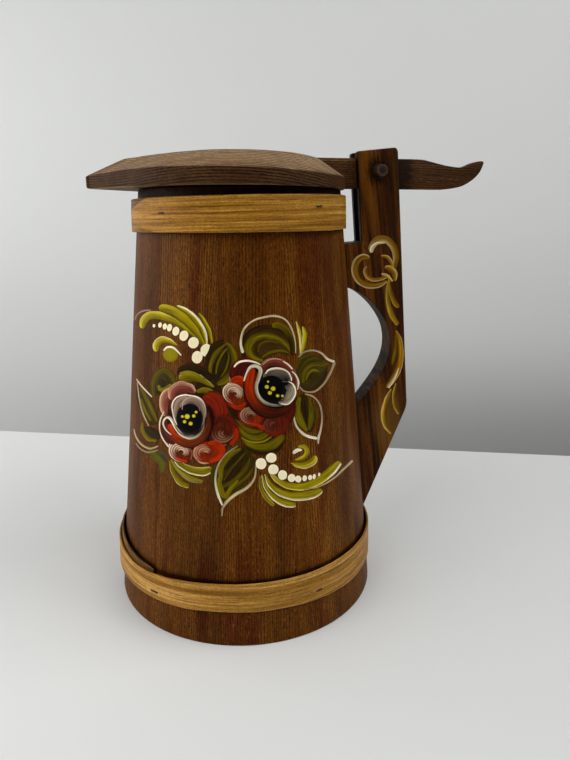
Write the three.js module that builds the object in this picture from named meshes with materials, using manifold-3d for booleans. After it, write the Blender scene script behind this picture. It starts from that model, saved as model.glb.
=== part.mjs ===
// Coopered wooden jug with a hinged plank lid and a forked plank handle.
// Millimetres, +Z up. The barrel's axis is modelled at x = 0, y = 0 with the handle
// along +X; the whole group is then moved by -CENTRE_X so that the origin is the
// centre of the bounding box's bottom.
import * as THREE from 'three';
import { mergeVertices } from 'three/addons/utils/BufferGeometryUtils.js';
import Module from 'manifold-3d';

const wasm = await Module();
wasm.setup();

// ---------------------------------------------------------------- dimensions
const GAP = 0.3;              // gap between touching pieces
const CENTRE_X = 27.85;       // middle of the bounding box along X, from the barrel's axis

// barrel
const BASE_R = 71.5;          // outer radius at the foot
const TAPER = 0.0979;         // radius lost per mm of height (5.59 degrees)
const RIM_Z = 213.9;          // height of the rim
const WALL = 8;               // stave thickness, square to the axis
const RIM_BEVEL = 1.2;        // inner bevel of the rim
const CROZE_Z0 = 7.7, CROZE_Z1 = 12.3, CROZE_DEPTH = 3.0;  // groove for the bottom board
// seams between the staves, in degrees from the handle, clockwise side first
const SEAMS = [-41, -75.75, -107.25, -139, -171, -201, -232, -261.5, -292, -323];

// bottom board
const BOARD_Z0 = 6, BOARD_Z1 = 14;
const TONGUE_Z0 = 8, TONGUE_Z1 = 12;

// hoops: one split-willow strip each, wound once round with its ends overlapping
const STRIP = 1.1;            // strip thickness
const HOOP_LEAN = 0.035;      // a strip bears on the wall at its lower edge and leans in less than the wall
const LAYER_GAP = 0.2;        // between the two layers of the overlap
// an end's corners are cut off: [degrees along the strip, mm off its edge] at the top and below;
// edges: [degrees along the strip, change of the lower edge, change of the upper edge]
const UPPER = {
  z0: 194.2, z1: 210.3, tilt: 0.022,
  start: -55, sweep: 469.5,    // inner end, and the angle it winds through, clockwise
  rise: 0,
  startTop: [10, 3.2], startLow: [10, 3.2], endTop: [14, 3.6], endLow: [22, 2.6],
  edges: [[0, 0, 0], [45, 0.4, 0], [80, 0.75, 0], [120, 0.75, 0], [180, 0.4, 0], [260, 0, 0], [360, 0, 0], [405, 0.4, 0], [440, 0.75, 0], [480, 0.75, 0]],
  bulge: 0.8, bulgeAt: -177,  // stands off the wall under its outer end
};
const LOWER = {
  z0: 18.7, z1: 33.0, tilt: 0.015,
  start: -138, sweep: 429.5,
  rise: 5.5,
  startTop: [3, 0.8], startLow: [14, 6.5], endTop: [16, 3.6], endLow: [16, 3.6],
  edges: [[0, 0, 0], [130, -0.4, 0], [160, -1.6, 0.2], [222, -2.9, 0.4], [250, -2.9, 0.5], [266, -2.5, 0.6], [281, -1.9, 0.6], [293, -1.2, 0.4], [306, -0.4, 0.4], [331, 0, 0.3], [345, -0.2, 0.1], [353, -0.3, -0.6], [362, -0.4, -1.6], [373, -0.8, -1.9], [384, -1.3, -1.2], [397, -1.5, -0.4], [430, -1.5, 0]],
  bulge: 0, bulgeAt: 0,
};
const STATION = 4.5;          // degrees per station along a strip

// staples
const STAPLE = { width: 0.8, thick: 0.45, leg: 0.5 };

// handle plank, parallel to the barrel's wall
const PLANK = 15;             // plank thickness, across the handle
const LEAN = 0.0906;          // lean of the post's edges towards the barrel
const SLOT = 7.6;             // width of the fork
const SLOT_Z = 188.6;         // bottom of the fork
// hinge peg
const PEG_X = 70.5, PEG_Z = 223.6, PEG_R = 3.3;
const PEG_HEAD = 5.5, PEG_HEAD_R = 3.75, PEG_HEAD_END_R = 3.0, PEG_TAIL = 2.0;
const PEG_IN_FORK = 0.3;      // round the peg in the fork's ears
const PEG_RUN = 0.08;         // running clearance in the lever

// lid and lever, cut from one plank
const LID_Z0 = 214.2;         // underside
const LEVER_Z0 = 215.2, LEVER_Z1 = 230.1;
// height of the bevel's lower and upper edges along the lid, from tip to hinge: [x, z]
const BEVEL_LOW = [[-74.4, 219.6], [-66, 220.6], [-55, 221.4], [-40, 221.65], [-15, 221.4], [4, 221.1], [22, 220.4], [37, 219.8], [60, 219.8]];
const BEVEL_HIGH = [[-55.9, 228.0], [-45, 228.9], [-32, 229.6], [-18, 229.8], [0, 229.7], [12, 229.55], [21, 229.35], [31, 228.8], [45, 228.7]];
const CROWN_Z = 230.0;        // middle of the slightly domed top
const LID_R = 56.5, LID_CX = -3.9, LID_TIP = -74.4, LID_TIP_W = 5.4;       // edge outline
const CROWN_R = 38.5, CROWN_CX = 0.8, CROWN_TIP = -55.9, CROWN_TIP_W = 4.3; // flat top's outline
const LEVER = 7.0;            // lever thickness, in the fork's slot

// ---------------------------------------------------------------- helpers
const rad = (d) => d * Math.PI / 180;
const outerR = (z) => BASE_R - z * TAPER;
const innerR = (z) => outerR(z) - WALL;

function toManifold(geometry) {
  let g = geometry.clone();
  for (const name of Object.keys(g.attributes)) if (name !== 'position') g.deleteAttribute(name);
  g = mergeVertices(g, 1e-4);
  return new wasm.Manifold(new wasm.Mesh({
    numProp: 3,
    vertProperties: new Float32Array(g.attributes.position.array),
    triVerts: new Uint32Array(g.index.array),
  }));
}

function fromManifold(m) {
  const mesh = m.getMesh();
  const g = new THREE.BufferGeometry();
  const n = mesh.numProp, count = mesh.vertProperties.length / n;
  const pos = new Float32Array(count * 3);
  for (let i = 0; i < count; i++) for (let k = 0; k < 3; k++) pos[i * 3 + k] = mesh.vertProperties[i * n + k];
  g.setAttribute('position', new THREE.BufferAttribute(pos, 3));
  g.setIndex(new THREE.BufferAttribute(new Uint32Array(mesh.triVerts), 1));
  g.computeVertexNormals();
  return g;
}

// a closed profile of [radius, height] pairs turned about Z
function turned(profile, segments) {
  const pts = profile.map(([r, z]) => new THREE.Vector2(r, z));
  const first = profile[0], last = profile[profile.length - 1];
  if (!(first[0] === 0 && last[0] === 0)) pts.push(pts[0].clone());
  const g = new THREE.LatheGeometry(pts, segments);
  g.rotateX(Math.PI / 2);                 // the lathe's axis is Y
  g.scale(1, -1, 1);
  return flipIfInside(g);
}

function signedVolume(g) {
  const p = g.attributes.position, ix = g.index;
  const a = new THREE.Vector3(), b = new THREE.Vector3(), c = new THREE.Vector3();
  let v = 0;
  const n = ix ? ix.count : p.count;
  for (let i = 0; i < n; i += 3) {
    const [i0, i1, i2] = ix ? [ix.getX(i), ix.getX(i + 1), ix.getX(i + 2)] : [i, i + 1, i + 2];
    a.fromBufferAttribute(p, i0); b.fromBufferAttribute(p, i1); c.fromBufferAttribute(p, i2);
    v += a.dot(b.cross(c)) / 6;
  }
  return v;
}

function flipIfInside(g) {
  g = mergeVertices((() => { const h = g.clone(); for (const k of Object.keys(h.attributes)) if (k !== 'position') h.deleteAttribute(k); return h; })(), 1e-4);
  if (signedVolume(g) < 0) {
    const ix = g.index.array;
    for (let i = 0; i < ix.length; i += 3) { const t = ix[i]; ix[i] = ix[i + 1]; ix[i + 1] = t; }
  }
  return g;
}

// an outline in the XZ plane, pushed through y = -half .. +half
function plate(shape, half, curveSegments = 10) {
  const g = new THREE.ExtrudeGeometry(shape, { depth: 2 * half, bevelEnabled: false, curveSegments });
  g.rotateX(Math.PI / 2);                 // shape's y becomes z, depth becomes -y
  g.translate(0, half, 0);
  return flipIfInside(g);
}

// an outline in the XY plane, pushed up from z0 to z1
function prism(points, z0, z1) {
  const s = new THREE.Shape(points.map(([x, y]) => new THREE.Vector2(x, y)));
  const g = new THREE.ExtrudeGeometry(s, { depth: z1 - z0, bevelEnabled: false });
  g.translate(0, 0, z0);
  return flipIfInside(g);
}

function barY(x, z, r, y0, y1, segments = 48) {
  const g = new THREE.CylinderGeometry(r, r, y1 - y0, segments);
  g.translate(x, (y0 + y1) / 2, z);
  return flipIfInside(g);
}

// stacked closed rings of the same number of points, capped at both ends
function lofted(rings) {
  const n = rings[0].length, pos = [], idx = [];
  for (const ring of rings) for (const p of ring) pos.push(...p);
  for (let k = 0; k + 1 < rings.length; k++) for (let i = 0; i < n; i++) {
    const j = (i + 1) % n, a = k * n + i, b = k * n + j, c = (k + 1) * n + i, d = (k + 1) * n + j;
    idx.push(a, b, d, a, d, c);
  }
  const cap = (k, flip) => {
    const flat = rings[k].map(([x, y]) => new THREE.Vector2(x, y));
    for (const [a, b, c] of THREE.ShapeUtils.triangulateShape(flat, [])) {
      if (flip) idx.push(k * n + a, k * n + c, k * n + b); else idx.push(k * n + a, k * n + b, k * n + c);
    }
  };
  cap(0, true); cap(rings.length - 1, false);
  const g = new THREE.BufferGeometry();
  g.setAttribute('position', new THREE.Float32BufferAttribute(pos, 3));
  g.setIndex(idx);
  return flipIfInside(g);
}

// ---------------------------------------------------------------- materials
const colour = (hex, roughness, metalness = 0) => new THREE.MeshStandardMaterial({ color: hex, roughness, metalness });
const WOOD = { barrel: 0x5b3817, handle: 0x55330f, lid: 0x5a4230, board: 0x573a1c, peg: 0x4c3826, willow: 0xa87a3d };
const STAPLE_STEEL = 0x2b2521;

const group = new THREE.Group();
function add(name, manifoldOrGeometry, material) {
  const g = manifoldOrGeometry.isBufferGeometry ? manifoldOrGeometry : fromManifold(manifoldOrGeometry);
  const mesh = new THREE.Mesh(g, material);
  mesh.name = name;
  group.add(mesh);
  return mesh;
}

// ---------------------------------------------------------------- staples (their holes are cut in what they pass through)
// a staple at an angle and height: its crown lies along the strip
function stapleFrame(angle, z, r, slope) {
  const a = rad(angle);
  const out = new THREE.Vector3(Math.cos(a), Math.sin(a), 0);
  const along = new THREE.Vector3(-Math.sin(a), Math.cos(a), 0);
  const up = new THREE.Vector3().crossVectors(out, along);
  const tiltedUp = up.clone().addScaledVector(out, -HOOP_LEAN).normalize();
  const tiltedOut = new THREE.Vector3().crossVectors(along, tiltedUp).normalize();
  const turnedAlong = along.clone().addScaledVector(tiltedUp, slope).normalize();
  const turnedUp = new THREE.Vector3().crossVectors(tiltedOut, turnedAlong).normalize();
  const m = new THREE.Matrix4().makeBasis(turnedAlong, turnedUp, tiltedOut);
  m.setPosition(out.x * r, out.y * r, z);
  return m;
}
function boxIn(frame, sx, sy, z0, z1, dx = 0) {
  const g = new THREE.BoxGeometry(sx, sy, z1 - z0);
  g.translate(dx, 0, (z0 + z1) / 2);
  g.applyMatrix4(frame);
  return flipIfInside(g);
}
const LEG_LENGTH = 5.2;
function stapleSolids(angle, z, r, slope, length) {
  const f = stapleFrame(angle, z, r, slope);
  const half = (length - STAPLE.leg) / 2;
  let staple = toManifold(boxIn(f, length, STAPLE.width, 0.12, 0.12 + STAPLE.thick));
  let holes = null;
  for (const s of [-1, 1]) {
    staple = staple.add(toManifold(boxIn(f, STAPLE.leg, STAPLE.leg, -LEG_LENGTH, 0.3, s * half)));
    const hole = toManifold(boxIn(f, STAPLE.leg + 2 * GAP, STAPLE.leg + 2 * GAP, -LEG_LENGTH - GAP, 1.0, s * half));
    holes = holes ? holes.add(hole) : hole;
  }
  return { staple, holes };
}

// ---------------------------------------------------------------- hoops
const ease = (v) => { const u = Math.min(1, Math.max(0, v)); return u * u * (3 - 2 * u); };
function rowAt(rows, t) {
  let i = 1;
  while (i < rows.length - 1 && t > rows[i][0]) i++;
  const [a, b] = [rows[i - 1], rows[i]], k = ease((t - a[0]) / (b[0] - a[0]));
  return a.map((v, j) => v + (b[j] - v) * k);
}
const cut = ([run, depth], t) => depth * Math.max(0, 1 - t / run);
function stripStations(h) {
  const n = Math.round(h.sweep / STATION), list = [];
  const step = STRIP + LAYER_GAP;
  for (let i = 0; i <= n; i++) {
    const t = h.sweep * i / n, left = h.sweep - t, angle = h.start - t;
    // the strip steps out just before it meets its own start
    const away = (((angle - h.bulgeAt) % 360) + 540) % 360 - 180;
    const off = GAP + step * ease((t - 326) / 26) + h.bulge * Math.exp(-((away / 32) ** 2));
    // the first part rides higher, and comes down on the far side
    const lift = h.rise * (1 - ease((t - 60) / 150)) * (0.12 + 0.88 * ease(t / 46));
    const x = Math.cos(rad(angle)) * outerR((h.z0 + h.z1) / 2);
    const [, low, top] = rowAt(h.edges, t);
    const foot = h.z0 + h.tilt * x + lift + low, head = h.z1 + h.tilt * x + lift + top;
    list.push({
      angle, off, foot,
      z0: foot + cut(h.startLow, t) + cut(h.endLow, left),
      z1: head - cut(h.startTop, t) - cut(h.endTop, left),
    });
  }
  return list;
}
function strip(h) {
  const stations = stripStations(h), pos = [], idx = [];
  for (const s of stations) {
    const c = Math.cos(rad(s.angle)), d = Math.sin(rad(s.angle));
    for (const [z, extra] of [[s.z0, 0], [s.z0, STRIP], [s.z1, STRIP], [s.z1, 0]]) {
      const r = outerR(s.foot) - HOOP_LEAN * (z - s.foot) + s.off + extra;
      pos.push(r * c, r * d, z);
    }
  }
  const n = stations.length;
  for (let i = 0; i + 1 < n; i++) for (let k = 0; k < 4; k++) {
    const a = i * 4 + k, b = i * 4 + (k + 1) % 4, c = a + 4, d = b + 4;
    idx.push(a, b, d, a, d, c);
  }
  idx.push(0, 3, 2, 0, 2, 1);
  const e = (n - 1) * 4;
  idx.push(e, e + 1, e + 2, e, e + 2, e + 3);
  const g = new THREE.BufferGeometry();
  g.setAttribute('position', new THREE.Float32BufferAttribute(pos, 3));
  g.setIndex(idx);
  return flipIfInside(g);
}
// outer face of the outermost layer at an angle
function stripOuter(h, angle) {
  let best = null;
  for (const s of stripStations(h)) {
    const d = Math.abs((((s.angle - angle) % 360) + 540) % 360 - 180);
    if (d <= STATION * 0.51 && (!best || s.off > best.off)) best = s;
  }
  return { r: (z) => outerR(best.foot) - HOOP_LEAN * (z - best.foot) + best.off + STRIP };
}

let upperHoop = toManifold(strip(UPPER));
let lowerHoop = toManifold(strip(LOWER));

// staples near each end of the overlap: [name, hoop, angle, height, length]
const STAPLES = [
  ['upper_hoop_staple_left', UPPER, -135.55, 202.6, 3.7],
  ['upper_hoop_staple_right', UPPER, -56.65, 205.5, 4.2],
  ['lower_hoop_staple_left', LOWER, -136.0, 21.8, 5.4],
  ['lower_hoop_staple_right', LOWER, -66.4, 22.85, 4.0],
];
let stapleHoles = null;
const staples = [];
for (const [name, h, angle, z, length] of STAPLES) {
  const o = stripOuter(h, angle);
  const slope = h.tilt * -Math.sin(rad(angle));
  const { staple, holes } = stapleSolids(angle, z, o.r(z), slope, length);
  staples.push([name, staple]);
  stapleHoles = stapleHoles ? stapleHoles.add(holes) : holes;
}
upperHoop = upperHoop.subtract(stapleHoles);
lowerHoop = lowerHoop.subtract(stapleHoles);

// ---------------------------------------------------------------- barrel: one turned wall, cut into staves
const wallProfile = [
  [innerR(0), 0], [outerR(0), 0], [outerR(RIM_Z), RIM_Z], [innerR(RIM_Z) + RIM_BEVEL, RIM_Z],
  [innerR(RIM_Z - RIM_BEVEL), RIM_Z - RIM_BEVEL],
  [innerR(CROZE_Z1), CROZE_Z1], [innerR(CROZE_Z1) + CROZE_DEPTH, CROZE_Z1],
  [innerR(CROZE_Z0) + CROZE_DEPTH, CROZE_Z0], [innerR(CROZE_Z0), CROZE_Z0],
];
const wall = toManifold(turned(wallProfile, 80));
const wallCut = wall.subtract(stapleHoles);

const FAR = 120, HALF = GAP / 2, HANDLE_HALF = PLANK / 2;
const dir = (deg) => [Math.cos(rad(deg)), Math.sin(rad(deg))];
// a wedge between two seams, its sides set back from the seams by half a gap
function wedge(a0, a1) {                  // a0 > a1, both in degrees
  const [c0, s0] = dir(a0), [c1, s1] = dir(a1);
  const [cm, sm] = dir((a0 + a1) / 2);
  const back = HALF / Math.sin(rad((a0 - a1) / 2));
  const tip = [cm * back, sm * back];
  return prism([tip, [tip[0] + c1 * FAR, tip[1] + s1 * FAR], [tip[0] + cm * FAR * 1.2, tip[1] + sm * FAR * 1.2], [tip[0] + c0 * FAR, tip[1] + s0 * FAR]], -1, RIM_Z + 1);
}
// beside the handle stave the seam is a plane parallel to the plank's face
function besideHandle(side, seam) {
  const y = side * (HANDLE_HALF + GAP), [c, s] = dir(seam);
  const nx = side * s, ny = -side * c;    // towards the stave, from the seam's plane
  const p = [nx * HALF, ny * HALF];
  // where the seam's plane, set back, meets the plank's plane
  const t = (y - p[1]) / s;
  const corner = [p[0] + c * t, y];
  return prism([corner, [FAR, y], [FAR, side * FAR], [corner[0] + c * FAR, corner[1] + s * FAR]], -1, RIM_Z + 1);
}
const barrelMaterial = colour(WOOD.barrel, 0.5);
const pad = (n) => String(n).padStart(2, '0');
for (let k = 0; k <= SEAMS.length; k++) {
  let cutter;
  if (k === 0) cutter = besideHandle(-1, SEAMS[0]);
  else if (k === SEAMS.length) cutter = besideHandle(1, SEAMS[SEAMS.length - 1] + 360);
  else cutter = wedge(SEAMS[k - 1], SEAMS[k]);
  add(`wall_stave_${pad(k + 1)}`, wallCut.intersect(toManifold(cutter)), barrelMaterial);
}

// ---------------------------------------------------------------- handle stave: its inner edge is part of the wall
const postIn = (z) => 58.6 + LEAN * (232.7 - z);     // post's edge next to the barrel
const postOut = (z) => 80.6 + LEAN * (229.9 - z);    // handle's outer edge
const inWall = (z) => outerR(z) - 4;                 // a line inside the wall's thickness
const plank = new THREE.Shape();
plank.moveTo(inWall(188.0), 187.5);
plank.lineTo(postIn(188.4) - 0.9, 188.35);           // notch for the hoop and the barrel's wall
plank.quadraticCurveTo(postIn(189) + 0.1, 188.5, postIn(189.4), 189.4);
plank.lineTo(postIn(232.0), 232.0);
plank.quadraticCurveTo(58.7, 233.05, 59.7, 233.15);
plank.lineTo(78.0, 235.15);
plank.quadraticCurveTo(79.75, 235.3, postOut(233.2), 233.2);
plank.lineTo(postOut(101.5), 101.5);
plank.quadraticCurveTo(93.0, 97.4, 91.3, 93.2);      // rounded lower corner
plank.lineTo(69.2, 36.9);
plank.quadraticCurveTo(68.3, 35.0, 67.0, 35.0);
plank.lineTo(inWall(35), 35.0);
plank.lineTo(inWall(94.2), 94.2);
// round the finger hole, which the barrel's wall closes
plank.lineTo(59.5, 94.2);
plank.splineThru([[62.9, 98.0], [67.7, 103.9], [72.6, 110.6], [75.9, 115.7], [78.0, 119.8], [79.6, 123.9], [80.6, 128.2], [81.0, 132.4], [80.75, 136.6], [79.8, 140.8], [78.0, 145.2], [75.3, 149.6], [71.5, 154.3], [66.9, 158.6], [61.3, 162.4], [54.6, 165.1]].map(([x, z]) => new THREE.Vector2(x, z)));
plank.lineTo(inWall(165.6), 165.6);
plank.lineTo(inWall(188.0), 187.5);

const slab = toManifold(boxIn(new THREE.Matrix4().makeTranslation(100.5, 0, 0), 200, PLANK, -5, RIM_Z + 5));
let handle = wallCut.intersect(slab).add(toManifold(plate(plank, HANDLE_HALF, 3)));
handle = handle.subtract(toManifold(boxIn(new THREE.Matrix4().makeTranslation(74, 0, 0), 36, SLOT, SLOT_Z, 260)));
handle = handle.subtract(toManifold(barY(PEG_X, PEG_Z, PEG_R + PEG_IN_FORK, -20, 20)));
add('handle_stave', handle, colour(WOOD.handle, 0.5));

// ---------------------------------------------------------------- bottom board, its edge thinned to a tongue in the groove
const boardR = innerR(BOARD_Z1) - 0.45;
const board = [
  [0, BOARD_Z0], [innerR(TONGUE_Z0) - 0.6, BOARD_Z0], [innerR(TONGUE_Z0) - 0.6, TONGUE_Z0],
  [innerR(TONGUE_Z0) + CROZE_DEPTH - 0.5, TONGUE_Z0], [innerR(TONGUE_Z1) + CROZE_DEPTH - 0.5, TONGUE_Z1],
  [boardR, TONGUE_Z1], [boardR, BOARD_Z1], [0, BOARD_Z1],
];
add('bottom_board', toManifold(turned(board, 80)), colour(WOOD.board, 0.6));

// ---------------------------------------------------------------- hoops and staples
const willow = colour(WOOD.willow, 0.55);
add('upper_hoop', upperHoop, willow);
add('lower_hoop', lowerHoop, willow);
for (const [name, solid] of staples) add(name, solid, colour(STAPLE_STEEL, 0.45, 0.8));

// ---------------------------------------------------------------- lid: pear-shaped, bevelled all round, one piece with its lever
function pear(r, cx, tip, tipW, n = 44) {
  const d = Math.hypot(cx - tip, tipW);
  const start = Math.atan2(tipW, tip - cx) - Math.acos(r / d);   // where the straight side leaves the round
  const pts = [];
  for (let i = 0; i <= n; i++) {
    const a = -start + 2 * start * i / n;
    pts.push([cx + r * Math.cos(a), r * Math.sin(a)]);
  }
  pts.push([tip + 0.9, tipW + 0.0], [tip, tipW - 1.2], [tip, -tipW + 1.2], [tip + 0.9, -tipW - 0.0]);
  return pts;
}
const at = (pts, z) => pts.map(([x, y]) => [x, y, z]);
const edge = pear(LID_R, LID_CX, LID_TIP, LID_TIP_W);
const crown = pear(CROWN_R, CROWN_CX, CROWN_TIP, CROWN_TIP_W);
const heightAt = (table, x) => {
  if (x <= table[0][0]) return table[0][1];
  for (let i = 1; i < table.length; i++) if (x <= table[i][0]) {
    const [x0, h0] = table[i - 1], [x1, h1] = table[i];
    return h0 + (h1 - h0) * (x - x0) / (x1 - x0);
  }
  return table[table.length - 1][1];
};
const along = (pts, table) => pts.map(([x, y]) => [x, y, heightAt(table, x)]);
const inner = (pts, k) => pts.map(([x, y]) => [-3 + (x + 3) * k, y * k, CROWN_Z - (CROWN_Z - heightAt(BEVEL_HIGH, x)) * k ** 3]);
let lid = toManifold(lofted([
  at(edge, LID_Z0), along(edge, BEVEL_LOW), along(crown, BEVEL_HIGH), inner(crown, 0.72), at(inner(crown, 0.4), CROWN_Z),
]));

const lever = new THREE.Shape();
lever.moveTo(16, LEVER_Z0);
lever.lineTo(108.5, LEVER_Z0);
lever.splineThru([[113.6, 215.8], [118.4, 216.9], [122.3, 218.8], [125.7, 221.3], [128.2, 224.2], [129.6, 227.3]].map(([x, z]) => new THREE.Vector2(x, z)));
lever.splineThru([[130.1, 228.9], [129.4, 229.75], [127.2, 229.65], [124.2, 228.8], [120.6, 227.3], [117.6, 226.5], [114.5, 226.5], [109.6, 227.1], [103.5, 228.3], [97.6, 229.6], [94.5, 230.1]].map(([x, z]) => new THREE.Vector2(x, z)));
lever.lineTo(32, LEVER_Z1);
lever.lineTo(16, CROWN_Z - 0.35);                    // runs out into the crown
lever.lineTo(16, LEVER_Z0);
lid = lid.add(toManifold(plate(lever, LEVER / 2, 2)));
lid = lid.subtract(toManifold(barY(PEG_X, PEG_Z, PEG_R + PEG_RUN, -20, 20)));
add('lid', lid, colour(WOOD.lid, 0.5));

// ---------------------------------------------------------------- hinge peg: round in the fork, whittled to eight sides at its head
const near = -HANDLE_HALF;
let peg = toManifold(barY(PEG_X, PEG_Z, PEG_R, near - 0.6, HANDLE_HALF + PEG_TAIL));
const head = new THREE.CylinderGeometry(PEG_HEAD_END_R / Math.cos(Math.PI / 8), PEG_HEAD_R / Math.cos(Math.PI / 8), PEG_HEAD - GAP, 8);
head.rotateX(Math.PI);                    // the narrow end faces away from the handle
head.rotateY(Math.PI / 8);
head.translate(PEG_X, near - GAP - (PEG_HEAD - GAP) / 2, PEG_Z);
peg = peg.add(toManifold(flipIfInside(head)));
add('hinge_peg', peg, colour(WOOD.peg, 0.5));

group.position.set(-CENTRE_X, 0, 0);
group.updateMatrixWorld(true);

export default group;
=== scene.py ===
"""A coopered wooden jug with a hinged lid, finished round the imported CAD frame."""

import math

import bpy
import numpy as np
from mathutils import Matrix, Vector, geometry, noise


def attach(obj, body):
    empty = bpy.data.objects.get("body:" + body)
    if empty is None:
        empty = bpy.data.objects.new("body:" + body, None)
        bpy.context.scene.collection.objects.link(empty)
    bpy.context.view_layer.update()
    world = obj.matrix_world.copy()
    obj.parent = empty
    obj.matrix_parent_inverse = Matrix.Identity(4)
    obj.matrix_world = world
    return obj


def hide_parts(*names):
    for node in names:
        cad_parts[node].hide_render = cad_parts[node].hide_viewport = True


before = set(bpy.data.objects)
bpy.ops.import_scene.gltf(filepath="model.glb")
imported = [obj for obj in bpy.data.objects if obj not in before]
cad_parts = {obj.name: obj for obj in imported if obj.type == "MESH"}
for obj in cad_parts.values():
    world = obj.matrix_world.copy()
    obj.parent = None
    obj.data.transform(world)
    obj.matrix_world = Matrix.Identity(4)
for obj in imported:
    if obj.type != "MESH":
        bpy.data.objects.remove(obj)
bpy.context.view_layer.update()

MM = 0.001
AXIS_X = -27.85               # the barrel's axis, in mm along X of the row frame
ROOM = 0.22                   # brightness of the room round the stage
TURN = math.radians(10.25)    # the handle's plane, turned from the picture plane
RIM = 213.9
WALL = 8.0
GAP = 0.3


# ------------------------------------------------------------------ small tools
def srgb(r, g, b, a=1.0):
    def one(c):
        c /= 255.0
        return c / 12.92 if c <= 0.04045 else ((c + 0.055) / 1.055) ** 2.4
    return (one(r), one(g), one(b), a)


def outer_r(z):
    return 71.5 - 0.0979 * z


def inner_r(z):
    return outer_r(z) - WALL


def ease(v):
    v = np.clip(v, 0.0, 1.0)
    return v * v * (3 - 2 * v)


def new_object(name, verts_mm, faces, sharp=None):
    """Vertices in mm, with the barrel's axis at x = 0, into the row frame."""
    v = np.array(verts_mm, float)
    v[:, 0] += AXIS_X
    me = bpy.data.meshes.new(name)
    me.from_pydata((v * MM).tolist(), [], faces)
    me.validate()
    me.update()
    me.shade_smooth()
    if sharp is not None:
        me.set_sharp_from_angle(angle=math.radians(sharp))
    ob = bpy.data.objects.new(name, me)
    bpy.context.scene.collection.objects.link(ob)
    return ob


def coords(ob):
    """Vertices in mm, with the barrel's axis at x = 0."""
    co = np.zeros(len(ob.data.vertices) * 3)
    ob.data.vertices.foreach_get("co", co)
    co = co.reshape(-1, 3) / MM
    co[:, 0] -= AXIS_X
    return co


def give(ob, name, data, kind="FLOAT_VECTOR"):
    at = ob.data.attributes.get(name) or ob.data.attributes.new(name, kind, "POINT")
    key = {"FLOAT_VECTOR": "vector", "FLOAT": "value", "FLOAT_COLOR": "color"}[kind]
    at.data.foreach_set(key, np.asarray(data, np.float32).ravel())


def applied(ob):
    """The object with its modifiers applied."""
    dg = bpy.context.evaluated_depsgraph_get()
    me = bpy.data.meshes.new_from_object(ob.evaluated_get(dg))
    old = ob.data
    ob.modifiers.clear()
    ob.data = me
    bpy.data.meshes.remove(old)
    return ob


def boolean(ob, cutter, operation="DIFFERENCE", sharp=28):
    m = ob.modifiers.new("b", "BOOLEAN")
    m.operation = operation
    m.solver = "EXACT"
    m.object = cutter
    applied(ob)
    bpy.data.objects.remove(cutter)
    ob.data.shade_smooth()
    ob.data.set_sharp_from_angle(angle=math.radians(sharp))
    return ob


def catmull(points, per=6):
    """A centripetal-free Catmull-Rom line through points, as the CAD's spline."""
    p = [np.array(q, float) for q in points]
    out = []
    for i in range(len(p) - 1):
        a, b, c, d = p[max(0, i - 1)], p[i], p[i + 1], p[min(len(p) - 1, i + 2)]
        for k in range(per):
            t = k / per
            v0, v1 = (c - a) * 0.5, (d - b) * 0.5
            out.append((2 * b - 2 * c + v0 + v1) * t ** 3 + (-3 * b + 3 * c - 2 * v0 - v1) * t ** 2 + v0 * t + b)
    out.append(p[-1])
    return out


def quad(a, b, c, n=6):
    a, b, c = (np.array(q, float) for q in (a, b, c))
    return [(1 - t) ** 2 * a + 2 * (1 - t) * t * b + t * t * c for t in np.linspace(0, 1, n + 1)]


def line(a, b, step=5.0):
    a, b = np.array(a, float), np.array(b, float)
    n = max(1, int(round(np.linalg.norm(b - a) / step)))
    return [a + (b - a) * i / n for i in range(n + 1)]


def wobble(p, seed=0.0):
    return noise.noise(Vector((p[0], p[1], p[2] + seed)))


def grid_faces(rows, cols, closed_cols=False, start=0):
    faces = []
    last = cols if closed_cols else cols - 1
    for i in range(rows - 1):
        for j in range(last):
            a = start + i * cols + j
            b = start + i * cols + (j + 1) % cols
            faces.append((a, b, b + cols, a + cols))
    return faces


# ------------------------------------------------------------------ staves
SEAMS = [-41, -75.75, -107.25, -139, -171, -201, -232, -261.5, -292, -323]
CROZE = (7.7, 12.3, 3.0)


def stave_profile():
    """(height, depth from the outer face or None, depth from the inner face or None) once round the stave's section."""
    pts = []
    for z, d in ((0.0, 0.75), (0.06, 0.4), (0.25, 0.15), (0.6, 0.02)):
        pts.append(("o", z, -d))
    rows = [z for z in np.arange(3.5, RIM - 2, 3.5) if not 31 < z < 40 and not 188.5 < z < 197]
    for z in sorted(rows + list(np.arange(31, 40, 0.6)) + list(np.arange(188.6, 197, 0.6))):
        pts.append(("o", float(z), 0.0))
    for z, d in ((RIM - 0.9, 0.02), (RIM - 0.45, 0.12), (RIM - 0.12, 0.38), (RIM, 0.75)):
        pts.append(("o", z, -d))
    pts += [("i", RIM, 1.45), ("i", RIM - 0.1, 1.05), ("i", RIM - 0.9, 0.25), ("i", RIM - 1.4, 0.02)]
    for z in np.arange(RIM - 6, CROZE[1] + 2, -8.0):
        pts.append(("i", float(z), 0.0))
    pts += [("i", CROZE[1] + 0.05, 0.0), ("i", CROZE[1], 0.05), ("i", CROZE[1], CROZE[2]), ("i", CROZE[0], CROZE[2]),
            ("i", CROZE[0], 0.05), ("i", CROZE[0] - 0.05, 0.0), ("i", 0.9, 0.0), ("i", 0.3, 0.1), ("i", 0.0, 0.5)]
    return pts


PROFILE = stave_profile()
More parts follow.
